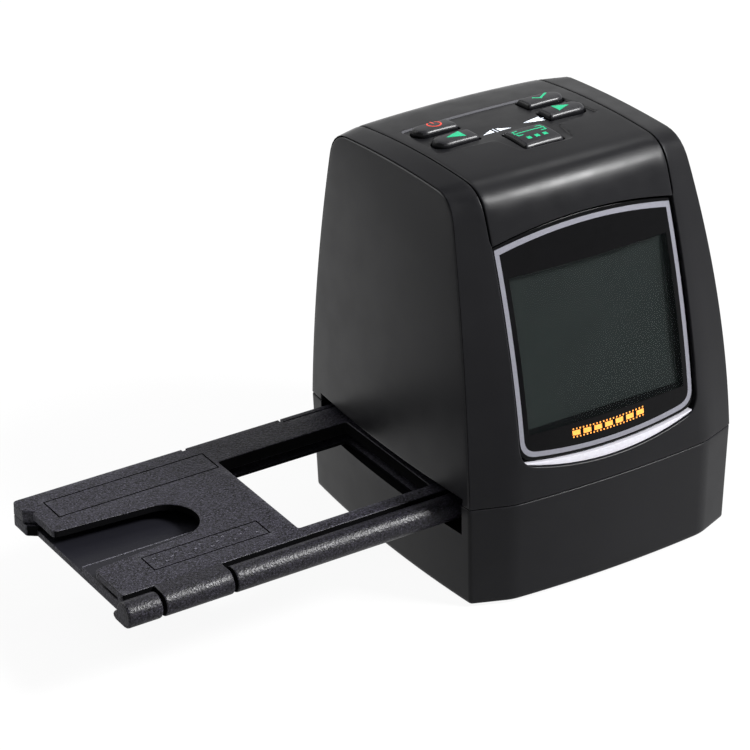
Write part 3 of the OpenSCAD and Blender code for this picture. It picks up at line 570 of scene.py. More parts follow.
class Mat(Nodes):
    """A principled material with helpers for its procedural detail."""

    def __init__(self, name, base, rough, metal=0.0, spec=0.5, **sockets):
        self.m = bpy.data.materials.new(name)
        self.m.use_nodes = True
        super().__init__(self.m.node_tree)
        self.p = self.tree.nodes["Principled BSDF"]
        self.base, self.rough = base, rough
        self.coord = self.node("TexCoord").outputs["Object"]
        sockets.update(Base_Color=base, Roughness=rough, Metallic=metal, Specular_IOR_Level=spec)
        for key, value in sockets.items():
            self.p.inputs[key.replace("_", " ")].default_value = value

    def noise(self, scale, detail=2.0, rough=0.5, stretch=None):
        n = self.node("TexNoise", Scale=scale, Detail=detail, Roughness=rough)
        source = self.coord
        if stretch:
            mapping = self.node("Mapping", Scale=stretch)
            self.feed(mapping.inputs["Vector"], source)
            source = mapping.outputs["Vector"]
        self.feed(n.inputs["Vector"], source)
        return n.outputs["Fac"]

    def texture(self, kind, output, **values):
        """Another texture over the object's own coordinates."""
        n = self.node(kind, **values)
        self.feed(n.inputs["Vector"], self.coord)
        return n.outputs[output]

    def bump(self, height, distance, strength):
        n = self.node("Bump", Distance=distance, Strength=strength)
        self.feed(n.inputs["Height"], height)
        self.feed(self.p.inputs["Normal"], n.outputs["Normal"])

    def vary_rough(self, value, lo, hi, amount):
        spread = self.ramp(value, lo, hi, self.rough - amount, self.rough + amount)
        self.feed(self.p.inputs["Roughness"], spread)

    def vary_base(self, value, lo, hi, amount):
        a = tuple(c * (1 - amount) for c in self.base[:3]) + (1.0,)
        b = tuple(min(1.0, c * (1 + amount)) for c in self.base[:3]) + (1.0,)
        out = self.mix(self.ramp(value, lo, hi, 0.0, 1.0), a, b)
        self.feed(self.p.inputs["Base Color"], out)
        return out

    def wear(self, colour, worn, share, scale=900):
        """Paler rubbed edges, broken up by noise."""
        sharpness = self.node("NewGeometry").outputs["Pointiness"]
        edge = self.ramp(sharpness, 0.52, 0.6, 0.0, share)
        spots = self.ramp(self.noise(scale, 3), 0.4, 0.65, 0.2, 1.0)
        out = self.mix(self.math("MULTIPLY", edge, spots), colour, worn)
        self.feed(self.p.inputs["Base Color"], out)


def moulded(name, base, rough, grain=3200, deep=1.2e-5, spec=0.23, worn=None, share=0.5):
    """Plastic or rubber from a mould, with fine grain."""
    m = Mat(name, base, rough, spec=spec)
    m.vary_rough(m.noise(160, 3), 0.35, 0.65, 0.035)
    col = m.vary_base(m.noise(70, 4), 0.35, 0.65, 0.06)
    m.bump(m.noise(grain, 3, 0.6), deep, 0.5)
    if worn:
        m.wear(col, worn, share)
    return m.m


def grained(name, base, rough, scale, deep, spec=0.5, pale=0.55):
    """Coarse spark-eroded grain, as on the film holder."""
    m = Mat(name, base, rough, spec=spec)
    m.vary_rough(m.noise(300, 3), 0.35, 0.65, 0.05)
    pits = m.math("MULTIPLY", m.texture("TexVoronoi", "Distance", Scale=scale), 0.6)
    m.bump(m.math("ADD", pits, m.noise(scale * 0.8, 3, 0.6)), deep, 0.8)
    col = m.vary_base(m.noise(scale * 1.1, 2, 0.6), 0.4, 0.6, 0.8)
    specks = m.ramp(m.noise(scale * 1.5, 2, 0.7), 0.54, 0.68, 0.0, pale)
    m.wear(m.mix(specks, col, rgb(92, 90, 104)), rgb(84, 84, 90), 0.4, scale=1300)
    return m.m


def smooth(name, colour, rough, gloss, tone, relief, **more):
    """Faint detail: gloss, tone as (noise, lo, hi, amount), relief as (noise, depth, strength)."""
    m = Mat(name, colour, rough, **more)
    m.vary_rough(m.noise(*gloss[0]), *gloss[1:])
    m.vary_base(m.noise(*tone[0]), *tone[1:])
    m.bump(m.noise(*relief[0]), *relief[1:])
    return m.m


def printed(name, colour):
    gloss, tone = ((600, 3), 0.3, 0.7, 0.06), ((2600, 3), 0.35, 0.65, 0.12)
    return smooth(name, colour, 0.42, gloss, tone, ((5000, 2), 5e-6, 0.4), spec=0.25)


def circuit(name, mask, track):
    """Board with solder mask, fine tracks and pads."""
    m = Mat(name, mask, 0.38, spec=0.4)
    lanes = m.texture("TexBrick", "Fac", Scale=420, Mortar_Size=0.06)
    dots = m.ramp(m.texture("TexVoronoi", "Distance", Scale=520), 0.10, 0.16, 1.0, 0.0)
    ground = m.vary_base(m.noise(180, 3), 0.3, 0.7, 0.15)
    col = m.mix(m.math("MULTIPLY", lanes, 0.5), ground, track)
    m.feed(m.p.inputs["Base Color"], m.mix(dots, col, rgb(170, 150, 96)))
    m.vary_rough(m.noise(500, 2), 0.3, 0.7, 0.08)
    m.bump(lanes, 2e-5, 0.4)
    return m.m


def metal(name, colour, rough, streak=(1, 1, 14)):
    m = Mat(name, colour, rough, metal=1.0)
    lines = m.noise(900, 4, 0.6, stretch=streak)
    m.vary_rough(lines, 0.3, 0.7, 0.1)
    worn = tuple(min(1, c * 1.5) for c in colour[:3]) + (1,)
    m.wear(m.vary_base(m.noise(220, 4), 0.3, 0.7, 0.14), worn, 0.5)
    m.bump(lines, 6e-6, 0.5)
    return m.m


def striped_ribbon(name, light, dark):
    m = Mat(name, light, 0.32, spec=0.45)
    bands = m.texture("TexWave", "Fac", Scale=900, Distortion=0.3)
    fac = m.ramp(bands, 0.45, 0.55, 0.0, 1.0)
    m.feed(m.p.inputs["Base Color"], m.mix(fac, light, dark))
    m.vary_rough(m.noise(500, 3), 0.3, 0.7, 0.08)
    m.bump(fac, 1e-5, 0.4)
    return m.m


case_mat = moulded("case_plastic", rgb(17, 17, 19), 0.31, spec=0.13, worn=rgb(54, 54, 58),
                   share=0.3)
# painted highlight: a paler copy of the case plastic for the rear wall of the keys' hollow
painted_highlight_case = moulded("painted_highlight_case", rgb(66, 66, 70), 0.4, spec=0.2)
panel_mat = moulded("panel_plastic", rgb(23, 23, 25), 0.35, worn=rgb(76, 76, 80), share=0.35)
key_mat = moulded("key_plastic", rgb(24, 24, 27), 0.33, 4200, 8e-6, worn=rgb(98, 98, 102),
                  share=0.6)
# painted shade: a darker copy of the key plastic for the keys' sides
key_painted_shade_mat = moulded("key_painted_shade_plastic", rgb(15, 15, 17), 0.28, 4200, 8e-6, spec=0.1)
inner_mat = moulded("black_inner_plastic", rgb(17, 17, 18), 0.6, spec=0.05)
white_inner_mat = moulded("white_inner_plastic", rgb(226, 226, 222), 0.5)
# painted shade: flat black without gloss, put on walls, ends and hollows where shade falls
painted_shade_mat = moulded("painted_shade_black", rgb(12, 12, 13), 0.7, spec=0.0)
rubber_mat = moulded("rubber", rgb(26, 26, 27), 0.75, 2200, 2.5e-5)
chip_mat = moulded("chip_epoxy", rgb(24, 24, 25), 0.55, 5200, 1e-5, worn=rgb(92, 92, 92), share=0.3)
led_mat = moulded("led_resin", rgb(240, 226, 150), 0.25, 900, 5e-6)

holder_mat = grained("holder_grain", rgb(26, 25, 31), 0.45, 1500, 1.8e-4, spec=0.2)
# the hinge's grain is glossier than the holder's; its darker tone is painted shade for the barrel's
# underside
barrel_mat = grained("barrel_grain", rgb(18, 17, 22), 0.38, 1700, 1.2e-4, spec=0.25, pale=0.25)
# pale grain: the lid's own pale raised marks, and a painted highlight on the strip along the tray's
# floor step
pale_mark_and_highlight_mat = grained("pale_mark_and_painted_highlight", rgb(78, 77, 84), 0.42, 1500, 5e-5, spec=0.2)
floor_mat = moulded("holder_floor", rgb(24, 24, 29), 0.36, 2600, 1e-5, spec=0.2)

glass_black = smooth("glass_black", rgb(5, 5, 6), 0.12, ((240, 4), 0.4, 0.7, 0.03),
                     ((500, 3), 0.3, 0.7, 0.15), ((60, 2), 1.5e-5, 0.3), spec=0.1)
glass_clear = smooth("glass_clear", rgb(22, 27, 27), 0.05, ((240, 4), 0.4, 0.7, 0.02),
                     ((400, 3), 0.3, 0.7, 0.1), ((60, 2), 1.5e-5, 0.3), spec=0.18, Alpha=0.12)
silver = smooth("silver_line", rgb(110, 110, 118), 0.4, ((900, 3), 0.3, 0.7, 0.08),
                ((2500, 2), 0.3, 0.7, 0.08), ((4000, 2), 5e-6, 0.4), metal=0.15, spec=0.25)
chrome = smooth("satin_silver", rgb(172, 171, 178), 0.5,
                ((700, 3, 0.5, (1, 1, 12)), 0.3, 0.7, 0.07), ((1500, 2), 0.3, 0.7, 0.05),
                ((3500, 2, 0.5, (0.2, 1, 1)), 6e-6, 0.4), metal=0.1, spec=0.3)
screen_mat = smooth("screen_panel", rgb(27, 32, 31), 0.4, ((400, 3), 0.3, 0.7, 0.04),
                    ((60, 2), 0.3, 0.7, 0.05), ((5200, 2), 3e-6, 0.3), spec=0.12)
lens_mat = smooth("lens_glass", rgb(206, 214, 232), 0.04, ((300, 3), 0.3, 0.7, 0.02),
                  ((90, 2), 0.3, 0.7, 0.08), ((200, 2), 2e-6, 0.2), Transmission_Weight=0.9)

red_ink = printed("red_ink", rgb(196, 62, 50))
green_ink = printed("green_ink", rgb(22, 158, 112))
white_ink = printed("white_ink", rgb(226, 232, 242))
orange_ink = printed("orange_ink", rgb(250, 158, 66))

board_mat = circuit("green_board", rgb(22, 74, 46), rgb(48, 112, 66))
white_board_mat = circuit("white_board", rgb(214, 214, 208), rgb(186, 186, 180))
steel_mat = metal("machined_steel", rgb(168, 170, 174), 0.3)
shield_mat = metal("tinned_shield", rgb(188, 188, 186), 0.26, (14, 1, 1))
spring_mat = metal("spring_steel", rgb(150, 152, 158), 0.24, (20, 1, 1))
ribbon_mat = striped_ribbon("ribbon_film", rgb(176, 106, 38), rgb(118, 62, 22))

FINISHES = {
    ribbon_mat: ("lcd_ribbon", "key_ribbon", "camera_ribbon", "led_ribbon"),
    board_mat: ("key_board", "main_board", "sensor_board"),
    white_board_mat: ("led_board",),
    steel_mat: (
        "key_board_screws", "main_board_screws", "sensor_screws", "gate_screws", "case_screws",
        "hinge_pins",
    ),
    spring_mat: ("detent_spring",),
    shield_mat: ("key_switches", "usb_socket", "card_socket"),
    chip_mat: ("image_chip", "image_sensor"),
    led_mat: ("leds",),
    lens_mat: ("front_lens", "rear_lens"),
    inner_mat: ("optical_hood", "lens_barrel", "film_gate", "tv_jack"),
    white_inner_mat: ("diffuser", "light_box"),
    rubber_mat: ("rubber_feet",),
}
for finish, names in FINISHES.items():
    for name in names:
        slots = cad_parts[name].data.materials
        slots.clear()
        slots.append(finish)

# ---------------------------------------------------------------- side panels

PANEL_T = 1.6


def lane_profile(inset):
    """A panel's edge from the side, as (y, z) from the front foot over the top to the back foot."""
    r, fz, fy, bz, by = corners(1, 0, inset)
    front = [(front_y(z, 1, 0, inset), z) for z in np.linspace(SEAM_HIGH, fz - r, 17)]
    top = [(y, top_z(y, 1, 0, inset)) for y in np.linspace(fy + r, by - r, 15)]
    back = [(back_y(z, 1, 0, inset), z) for z in np.linspace(bz - r, SEAM_HIGH, 17)]
    front_corner = bend(front[-1], (fy, fz), top[0], 8)
    back_corner = bend(top[-1], (by, bz), back[0], 8)
    return front[:-1] + front_corner[:-1] + top[:-1] + back_corner[:-1] + back


def side_outline(inset, sign):
    y0, y1, _, z1 = SLOT
    notch = [(y1, SEAM_HIGH), (y1, z1), (y0, z1), (y0, SEAM_HIGH)]
    return ccw([(sign * y, z) for y, z in resample(lane_profile(inset) + notch, 2.2)])


for sign, name in ((-1, "left_side_panel"), (1, "right_side_panel")):
    sh = Shell(side_skin(sign))
    sh.plate(side_outline(0.3, sign), thick=PANEL_T, edge=0.45, step=2.2)
    make(name + "_skin", [sh], [name], "scanner", [panel_mat])

# ---------------------------------------------------------------- upper housing

U_EDGE = COVER_X + BAND - 0.02
GAP = 0.1  # between the housing and its neighbours
WALL = 2.9  # of housing and cover


def pane_loop(half, top, crown, foot, belly, r, counts):
    """A window's outline as (x, z): arched top, round lower corners, a foot that hangs down."""
    arch_n, corner_n, foot_n = counts
    shares = [1 - 2 * k / arch_n for k in range(arch_n + 1)]
    arch = [(half * f, top + crown * (1 - f * f)) for f in shares]
    low = foot - belly * (1 - (1 - r / half) ** 2)
    xs = np.linspace(-half + r, half - r, foot_n)[1:-1]
    return (
        arch
        + bend((-half, foot + r), (-half, foot), (-half + r, low), corner_n)
        + [(x, foot - belly * (1 - x * x / half / half)) for x in xs]
        + bend((half - r, low), (half, foot), (half, foot + r), corner_n)
    )


def glass_loop(grow):
    top, foot = GLASS_TOP + grow, GLASS_FOOT - grow
    return pane_loop(GLASS_HALF + grow, top, GLASS_RISE, foot, 1.9, 4.0, (12, 7, 15))


def front_loop(loop):
    return [on_front(x, z) for x, z in resample(loop, 1.5)]


def housing_outline():
    """Foot, outer edge up and down, back inside the band, round window and crescent, mirrored."""
    foot = [(u_of(x, SEAM_HIGH), GAP) for x in np.linspace(-40.35, 40.35, 45)]
    foot[0], foot[-1] = (-U_EDGE, GAP), (U_EDGE, GAP)
    ws = np.linspace(GAP, WB[-1] - GAP, 130)
    right = [(U_EDGE, w) for w in ws[1:]]
    for w in ws[::-1]:
        z = skin(COVER_X, w)[2]
        if w < WB[1] and z < 91.2:
            break
        right.append((u_of(COVER_X + GAP, z), w))
    half, r, low_z = 27.15, 4.0, 37.0 - GAP
    low = low_z - CHIN_BELLY * (1 - (1 - r / half) ** 2)
    xs = np.linspace(half - r, 0, 12)[1:]
    rim = [(half, z) for z in np.linspace(90.7, 41.7, 28)]
    rim += bend((half, 41.7), (half, low_z), (half - r, low), 8)[1:]
    rim += [(x, low_z - CHIN_BELLY * (1 - x * x / half / half)) for x in xs]
    right += [on_front(x, z) for x, z in rim]
    return foot + right + [(-u, w) for u, w in right[-2::-1]]


hull = Shell(skin)
hull.plate(ccw(housing_outline()), thick=WALL, edge=0.32, step=2.0)
# ledge behind the glass, with its window for the picture, all in painted shade
ledge = Shell(lambda u, v, d: skin(u, v, GLASS_IN + GLASS_T + 0.06 + d))
ledge_window = front_loop(rounded(rect(-25.2, 42.6, 25.2, 83.3), 1.0))
ledge.plate(ccw(front_loop(glass_loop(0.1))), [ledge_window], thick=0.6, step=3.0)
ledge.slots = [1] * len(ledge.faces)
shells = [hull, ledge]
# walls behind the side panels
for sign in (-1, 1):
    sh = Shell(lambda u, v, d, face=side_skin(sign): face(u, v, PANEL_T + GAP + d))
    sh.plate(side_outline(2.0, sign), thick=1.2, step=4.0)
    shells.append(sh)
make("upper_housing_skin", shells, ["upper_housing"], "scanner", [case_mat, painted_shade_mat])

# ---------------------------------------------------------------- keys' outlines

# x, y and the side that the round end looks to, 0 for the square key
KEYS = {
    "power_key": (-16.5, 16.4, -1),
    "left_key": (-16.5, 7.1, -1),
    "ok_key": (16.5, 16.4, 1),
    "right_key": (16.5, 7.1, 1),
    "scan_key": (0.7, -2.3, 0),
}


def key_loop(name, grow, corner=0.9):
    x, y, side = KEYS[name]
    if side == 0:
        w, d = 5.9 + grow, 5.2 + grow
        return rounded(rect(x - w, y - d, x + w, y + d), corner + grow, 6)
    r, end = 3.0 + grow, x - side * (6.0 + grow)
    turn = np.linspace(-math.pi / 2, math.pi / 2, 17)
    nose = [(x + side * 3.0 + side * r * math.cos(t), y + r * math.sin(t)) for t in turn]
    return ccw(nose + rounded(rect(x + side, y + r, end, y - r), [0, corner, corner, 0], 5))


# ---------------------------------------------------------------- top cover

PAD, PAD_MIN = 0.42, 0.03  # depth of the hollow round the keys, and where it runs out
RIM = 0.32  # rounding of the cover's outer edge
HOLE_RIM = 0.28


def pad_depth(u, w):
    x, y, _ = skin(u, w)
    ahead = min(1.0, max(0.0, (y + 9.6) / 5.0))
    aside = min(1.0, max(0.0, (y - 1) / 6.0 + 0.1, (x + 4) / 8.0))
    return PAD_MIN + (PAD - PAD_MIN) * ahead * aside


def pad_share(share, more=0.0):
    """Depth function for a share of the hollow."""
    return lambda u, w: share * pad_depth(u, w) + more


def top_loop(points, step):
    return cw([on_top(x, y) for x, y in resample(points, step)])


cover_half = COVER_X - 0.3
arch_x = cover_half * np.linspace(-1, 1, 37)
arch = [on_front(x, GLASS_TOP + GLASS_RISE * (1 - (x / GLASS_HALF) ** 2) + 0.3) for x in arch_x]
side_ws = np.linspace(arch[-1][1], WB[-1] - GAP, 110)[1:]
side = [(u_of(cover_half, skin(COVER_X, w)[2]), w) for w in side_ws]
foot = [(u, side[-1][1]) for u in np.linspace(side[-1][0], -side[-1][0], 37)[1:-1]]
outline = ccw(arch + side + foot + [(-u, w) for u, w in side[::-1]])

pad = rounded(
    [(21.4, 20.5), (-23.6, 20.5), (-24.2, 2.1), (-8.7, 0.6),
     (-6.8, -8.3), (8.6, -8.6), (10.6, 0.6), (23.8, 2.1)],
    [1.5, 1.5, 1.2, 1.8, 2.0, 2.0, 1.8, 1.2],
)
pad_hole = top_loop(pad, 0.8)
key_holes = [top_loop(key_loop(k, 0.3), 0.9) for k in KEYS]
ports = [  # data and power, memory card, video
    rounded(rect(-18.15, 42.7, -9.85, 47.2), 0.5, 3),
    rounded(rect(-12.8, 57.7, 12.8, 61.3), 0.4, 3),
    circle(4, 45, 3.3, 36),
]
port_holes = [cw([on_back(x, z) for x, z in resample(p, 1.5)]) for p in ports]

sh = Shell(skin)
front_holes = [offset(pad_hole, 0.16)] + [offset(p, 0.3) for p in port_holes]
sh.sheet(offset(outline, RIM), front_holes, 0.0, 1.9)
sh.walls(outline, lip(RIM, WALL))
for p in port_holes:
    sh.walls(p, lip(0.3, WALL))
pad_faces = len(sh.faces)
slope = [(0.1, 0.07), (0.03, 0.22), (-0.17, 0.9), (-0.26, 1.0)]
sh.walls(pad_hole, [(0.16, 0.0)] + [(o, pad_share(share)) for o, share in slope])
# the hollow's rear wall gets a paler copy of the case plastic: a painted highlight
for k in range(pad_faces, len(sh.faces)):
    if min(sh.points[i][1] for i in sh.faces[k]) > 19.6:
        sh.slots[k] = 1
pad_floor = offset(pad_hole, -0.26)[::-1]
sh.sheet(pad_floor, [offset(h, HOLE_RIM) for h in key_holes], pad_depth, 1.5)
for h in key_holes:
    sh.walls(h, [(o, pad_share(1.0, d)) for o, d in lip(HOLE_RIM)] + [(0.0, WALL)])
sh.sheet(outline, port_holes + key_holes, WALL, 3.0, flip=True)
make("top_cover_skin", [sh], ["top_cover"], "scanner", [case_mat, painted_highlight_case])

# ---------------------------------------------------------------- keys

KEY_FLOOR, KEY_STEP = 98.0, 0.9  # underside of the keys, and height and width of the flange there
KEY_EDGE = [(1.15, 0.0), (0.9, 0.03), (0.68, 0.1), (0.5, 0.22), (0.36, 0.38), (0.25, 0.54),
            (0.14, 0.78), (0.05, 1.1), (0.0, 1.5)]
key_places = {}
for name, (kx, ky, _) in KEYS.items():
    top = top_z(ky, 0, 0.75) + 1.0

    def key_place(u, v, d, kx=kx, ky=ky, top=top):
        lean = -SAG * (((v + 4) / HALF_D) ** 2 - ((ky + 4) / HALF_D) ** 2)
        crown = 0.012 * ((v - ky) ** 2 + 0.3 * (u - kx) ** 2)
        fade = max(0.0, 1 - d / 3.0)
        return (u, v, top - d + (lean - crown) * fade)

    key_places[name] = key_place
    sh = Shell(key_place)
    loop = ccw(resample(key_loop(name, 0.0, 1.1), 0.8))
    deep = top - KEY_FLOOR
    flange = [(0.0, deep - KEY_STEP), (-KEY_STEP, deep - KEY_STEP), (-KEY_STEP, deep)]
    sh.sheet(offset(loop, KEY_EDGE[0][0]), [], 0.0, 0.9)
    sh.walls(loop, KEY_EDGE + flange)
    sh.sheet(offset(loop, -KEY_STEP), [], deep, 2.0, flip=True)
    # the ends that look left and the steep sides get a darker, smoother copy of the key plastic:
    # painted shade
    for k, f in enumerate(sh.faces):
        a, b, c = (np.array(sh.points[i]) for i in f[:3])
        n = np.cross(b - a, c - a)
        if n[0] < -0.5 * np.linalg.norm(n) or abs(n[2]) < 0.3 * np.linalg.norm(n):
            sh.slots[k] = 1
    make(name + "_cap", [sh], [name], name, [key_mat, key_painted_shade_mat])

# ---------------------------------------------------------------- display glass and crescent


PICTURE = (-23.7, 43.8, 23.7, 82.7)  # x0, z0, x1, z1 of the clear part
line_out = pane_loop(26.3, 89.7, 2.7, 38.5, 2.1, 4.2, (24, 8, 21))
line_in = pane_loop(25.1, 88.5, 2.7, 39.7, 2.1, 3.2, (24, 8, 21))


def glass_slot(m):
    """Clear over the picture, silver between the line's edges, black elsewhere."""
    x, _, z = skin(m[0], m[1])
    if PICTURE[0] < x < PICTURE[2] and PICTURE[1] < z < PICTURE[3]:
        return 1
    spot = np.array([[x, z]])
    return 2 if inside(line_out, spot)[0] and not inside(line_in, spot)[0] else 0


sh = Shell(lambda u, v, d: skin(u, v, GLASS_IN + d))
cuts = [front_loop(loop) for loop in (line_out, line_in, rounded(rect(*PICTURE), 0.3, 3))]
sh.plate(ccw(front_loop(glass_loop(0.0))), thick=GLASS_T, edge=0.2, step=2.0, slot=glass_slot,
         back_slot=1, cuts=cuts)
glass_finishes = [glass_black, glass_clear, silver]
make("display_window", [sh], ["display_glass"], "scanner", glass_finishes)

LCD_LEAN = math.atan2(11.743, 46)


def lcd_place(u, v, d):
    """u across, v up the panel, d into it, from the front foot edge of the display module."""
    sin, cos = math.sin(LCD_LEAN), math.cos(LCD_LEAN)
    return (u, -35.346 + v * sin + d * cos, 40.05 + v * cos - d * sin)


sh = Shell(lcd_place)
case_edge, rim = rect(-26, 0, 26, 46), rect(-25, 2.4, 25, 43.9)
pane = rect(-23.27, 3.88, 23.27, 42.5)
# the module's case, rim and the walls round the pane take painted shade; only the pane has the
# screen's colour
sh.sheet(case_edge, [cw(rim)], 0.0, 12, slot=1)
sh.walls(case_edge, [(0, 0), (0, 3.2)], 1)
sh.sheet(case_edge, [], 3.2, 20, flip=True, slot=1)
sh.walls(rim, [(0, -1.5), (0, 0)], 1)
sh.sheet(rim, [cw(pane)], -1.5, 12, slot=1)
sh.walls(cw(pane), [(0, -1.5), (0, -1.2)], 1)
sh.sheet(pane, [], -1.2, 6)
make("display_module", [sh], ["lcd_module"], "scanner", [screen_mat, painted_shade_mat])

CHIN_W, CHIN_STEPS = 26.9, 64


def chin_row(f):
    """Lower and upper edge of the crescent at a share f of its half width."""
    return 37.15 - CHIN_BELLY * (1 - f * f), 37.3 - 2.0 * (1 - f * f)


def chin_section(f):
    """Outline of the crescent across at f, as (z, depth), with its front edges rounded."""
    low, high = chin_row(f)
    r = min(0.14, (high - low) * 0.4)
    lower = [(low, 1.75), (low, r), (low + 0.3 * r, 0.3 * r), (low + r, 0.0)]
    upper = [(high - r, 0.0), (high - 0.3 * r, 0.3 * r), (high, r), (high, 1.75)]
    return lower + [((low + high) / 2, -0.02)] + upper


sh = Shell(lambda u, v, d: skin(*on_front(u, v), 0.5 + d))
stations = [-1 + 2 * k / CHIN_STEPS for k in range(CHIN_STEPS + 1)]
rows = [[sh.vert(CHIN_W * f, z, d) for z, d in chin_section(f)] for f in stations]
for a, b in zip(rows, rows[1:]):
    for k, m in around(len(a)):
        sh.face([a[m], a[k], b[k], b[m]])
sh.face(rows[0])
sh.face(rows[-1][::-1])
make("chin_crescent", [sh], ["chin_trim"], "scanner", [chrome])

# ---------------------------------------------------------------- printed symbols


def stroke(points, wide):
    """Outline of a pen stroke along points."""
    p = np.array(points, float)
    d = np.diff(p, axis=0)
    d /= np.linalg.norm(d, axis=1)[:, None]
    n = np.stack([-d[:, 1], d[:, 0]], 1)
    m = np.vstack([n[:1], (n[:-1] + n[1:]) / (1 + (n[:-1] * n[1:]).sum(1))[:, None], n[-1:]])
    return [tuple(v) for v in np.vstack([p - wide / 2 * m, (p + wide / 2 * m)[::-1]])]


def print_on(name, body, loops, place, material):
    """Ink: thin closed shapes that stand just proud of the surface."""
    shells = []
    for loop in loops:
        sh = Shell(lambda u, v, d: place(u, v, d - 0.03))
        sh.plate(ccw(resample(loop, 0.6)), thick=0.05, edge=0.0, step=0.8)
        shells.append(sh)
    make(name, shells, [], body, [material])


def at(loops, x, y):
    return [[(x + a, y + b) for a, b in loop] for loop in loops]


def squares(half, xs, y):
    return [rect(x - half, y - half, x + half, y + half) for x in xs]


ring_turn = np.linspace(0.62, 2 * math.pi - 0.62, 25)
ring_arc = [(1.75 * math.sin(t), 1.75 * math.cos(t)) for t in ring_turn]
power_sign = [stroke(ring_arc, 0.42), stroke([(0, 0.25), (0, 2.1)], 0.42)]
left_sign = [[(-2.7, 0.0), (2.0, -1.9), (2.0, 1.9)]]
right_sign = [[(2.4, 0.0), (-1.8, 1.9), (-1.8, -1.9)]]
tick_sign = [stroke([(-2.5, 0.2), (-0.8, -1.2), (2.6, 1.4)], 0.62)]
corner = [(-4.1, 0.4), (-4.1, 1.4), (-2.7, 1.4)]
mirrors = [(sx, sy) for sx in (-1, 1) for sy in (-1, 1)]
scan_sign = [stroke([(sx * x, sy * y) for x, y in corner], 0.42) for sx, sy in mirrors]
scan_sign += [stroke([(-4.6, 0.0), (4.6, 0.0)], 0.4)]
scan_sign += squares(0.62, (-2.4, 0.0, 2.4), -3.5)
mirror_sign = [
    [(-0.8, -0.95), (-0.8, 0.95), (-4.2, -0.95)],
    [(0.8, -0.95), (4.2, -0.95), (0.8, 0.95)],
    stroke([(0, -1.25), (0, 1.25)], 0.28),
]
flip_sign = [
    [(-2.3, 0.35), (2.3, 0.35), (2.3, 1.45)],
    [(-2.3, -0.35), (2.3, -1.45), (2.3, -0.35)],
    stroke([(-3, 0), (3, 0)], 0.26),
]

for name, signs, spot, ink in (
    ("power_key", power_sign, (-15.8, 17.0), red_ink),
    ("left_key", left_sign, (-16.0, 7.3), green_ink),
    ("ok_key", tick_sign, (16.6, 17.0), green_ink),
    ("right_key", right_sign, (16.2, 7.6), green_ink),
    ("scan_key", scan_sign, (0.6, -0.6), green_ink),
):
    print_on(name + "_sign", name, at(signs, *spot), key_places[name], ink)


def pad_place(x, y, d):
    u, w = on_top(x, y)
    return skin(u, w, pad_depth(u, w) + d)


print_on("mirror_sign", "scanner", at(mirror_sign, -4.6, 6.6), pad_place, white_ink)
print_on("flip_sign", "scanner", at(flip_sign, 7.1, 6.6), pad_place, white_ink)

STRIP_W, FRAMES, FRAME_W, HOLES = 10.9, 7, 1.15, 22  # half widths in mm, and counts
frame_xs = np.linspace(-STRIP_W + FRAME_W, STRIP_W - FRAME_W, FRAMES)
hole_xs = np.linspace(-STRIP_W + 0.3, STRIP_W - 0.3, HOLES)
strip_sign = [rect(x - FRAME_W, -0.62, x + FRAME_W, 0.62) for x in frame_xs]
strip_sign += squares(0.19, hole_xs, 1.05) + squares(0.19, hole_xs, -1.05)


def strip_place(x, y, d):
    u, w = on_front(x - 0.4, 41.2 + y - 0.35 * (1 - (x / STRIP_W) ** 2))
    return skin(u, w, GLASS_IN + d)


print_on("film_strip_sign", "scanner", strip_sign, strip_place, orange_ink)

# ---------------------------------------------------------------- base shell

FLOOR_T, WALL_T = 2.4, 2.4
FOOT_DEEP = 1.2  # hollows for the feet
SLOT_FLOOR = SLOT[2] - 0.01


def ring(z, inset=0.0):
    """Outline of the base at a height, counter-clockwise from the front's middle."""
    e, sx = edge_x(z), side_x(z)
    y0, y1 = front_y(z, 1, 0), back_y(z, 1, 0)

    def side_pt(t):
        return (sx + bow_at(z) * (1 - (2 * t - 1) ** 2), y0 + (y1 - y0) * t)

    def quarter(face, t):
        """From the middle of the front or the back to the side."""
        strip = [(x, face(z, 0, 1 - (x / e) ** 2)) for x in np.linspace(0, e - 2.0, 11)]
        band = [(e + q * (sx - e), face(z, q, 0)) for q in (0.18, 0.4, 0.6, 0.8, 0.925, 1)]
        seam = bend(strip[-1], (e, face(z, 0, 0)), band[0], 6)
        return strip[:-1] + seam + band[1:4] + bend(band[4], band[5], side_pt(t), 7)

    ts = [(SLOT[0] - y0) / (y1 - y0), *np.linspace(0.1, 0.88, 22), (SLOT[1] - y0) / (y1 - y0)]
    right = quarter(front_y, 0.012) + [side_pt(t) for t in ts] + quarter(back_y, 0.988)[::-1]
    return offset(right + [(-x, y) for x, y in right[::-1][1:-1]], inset)


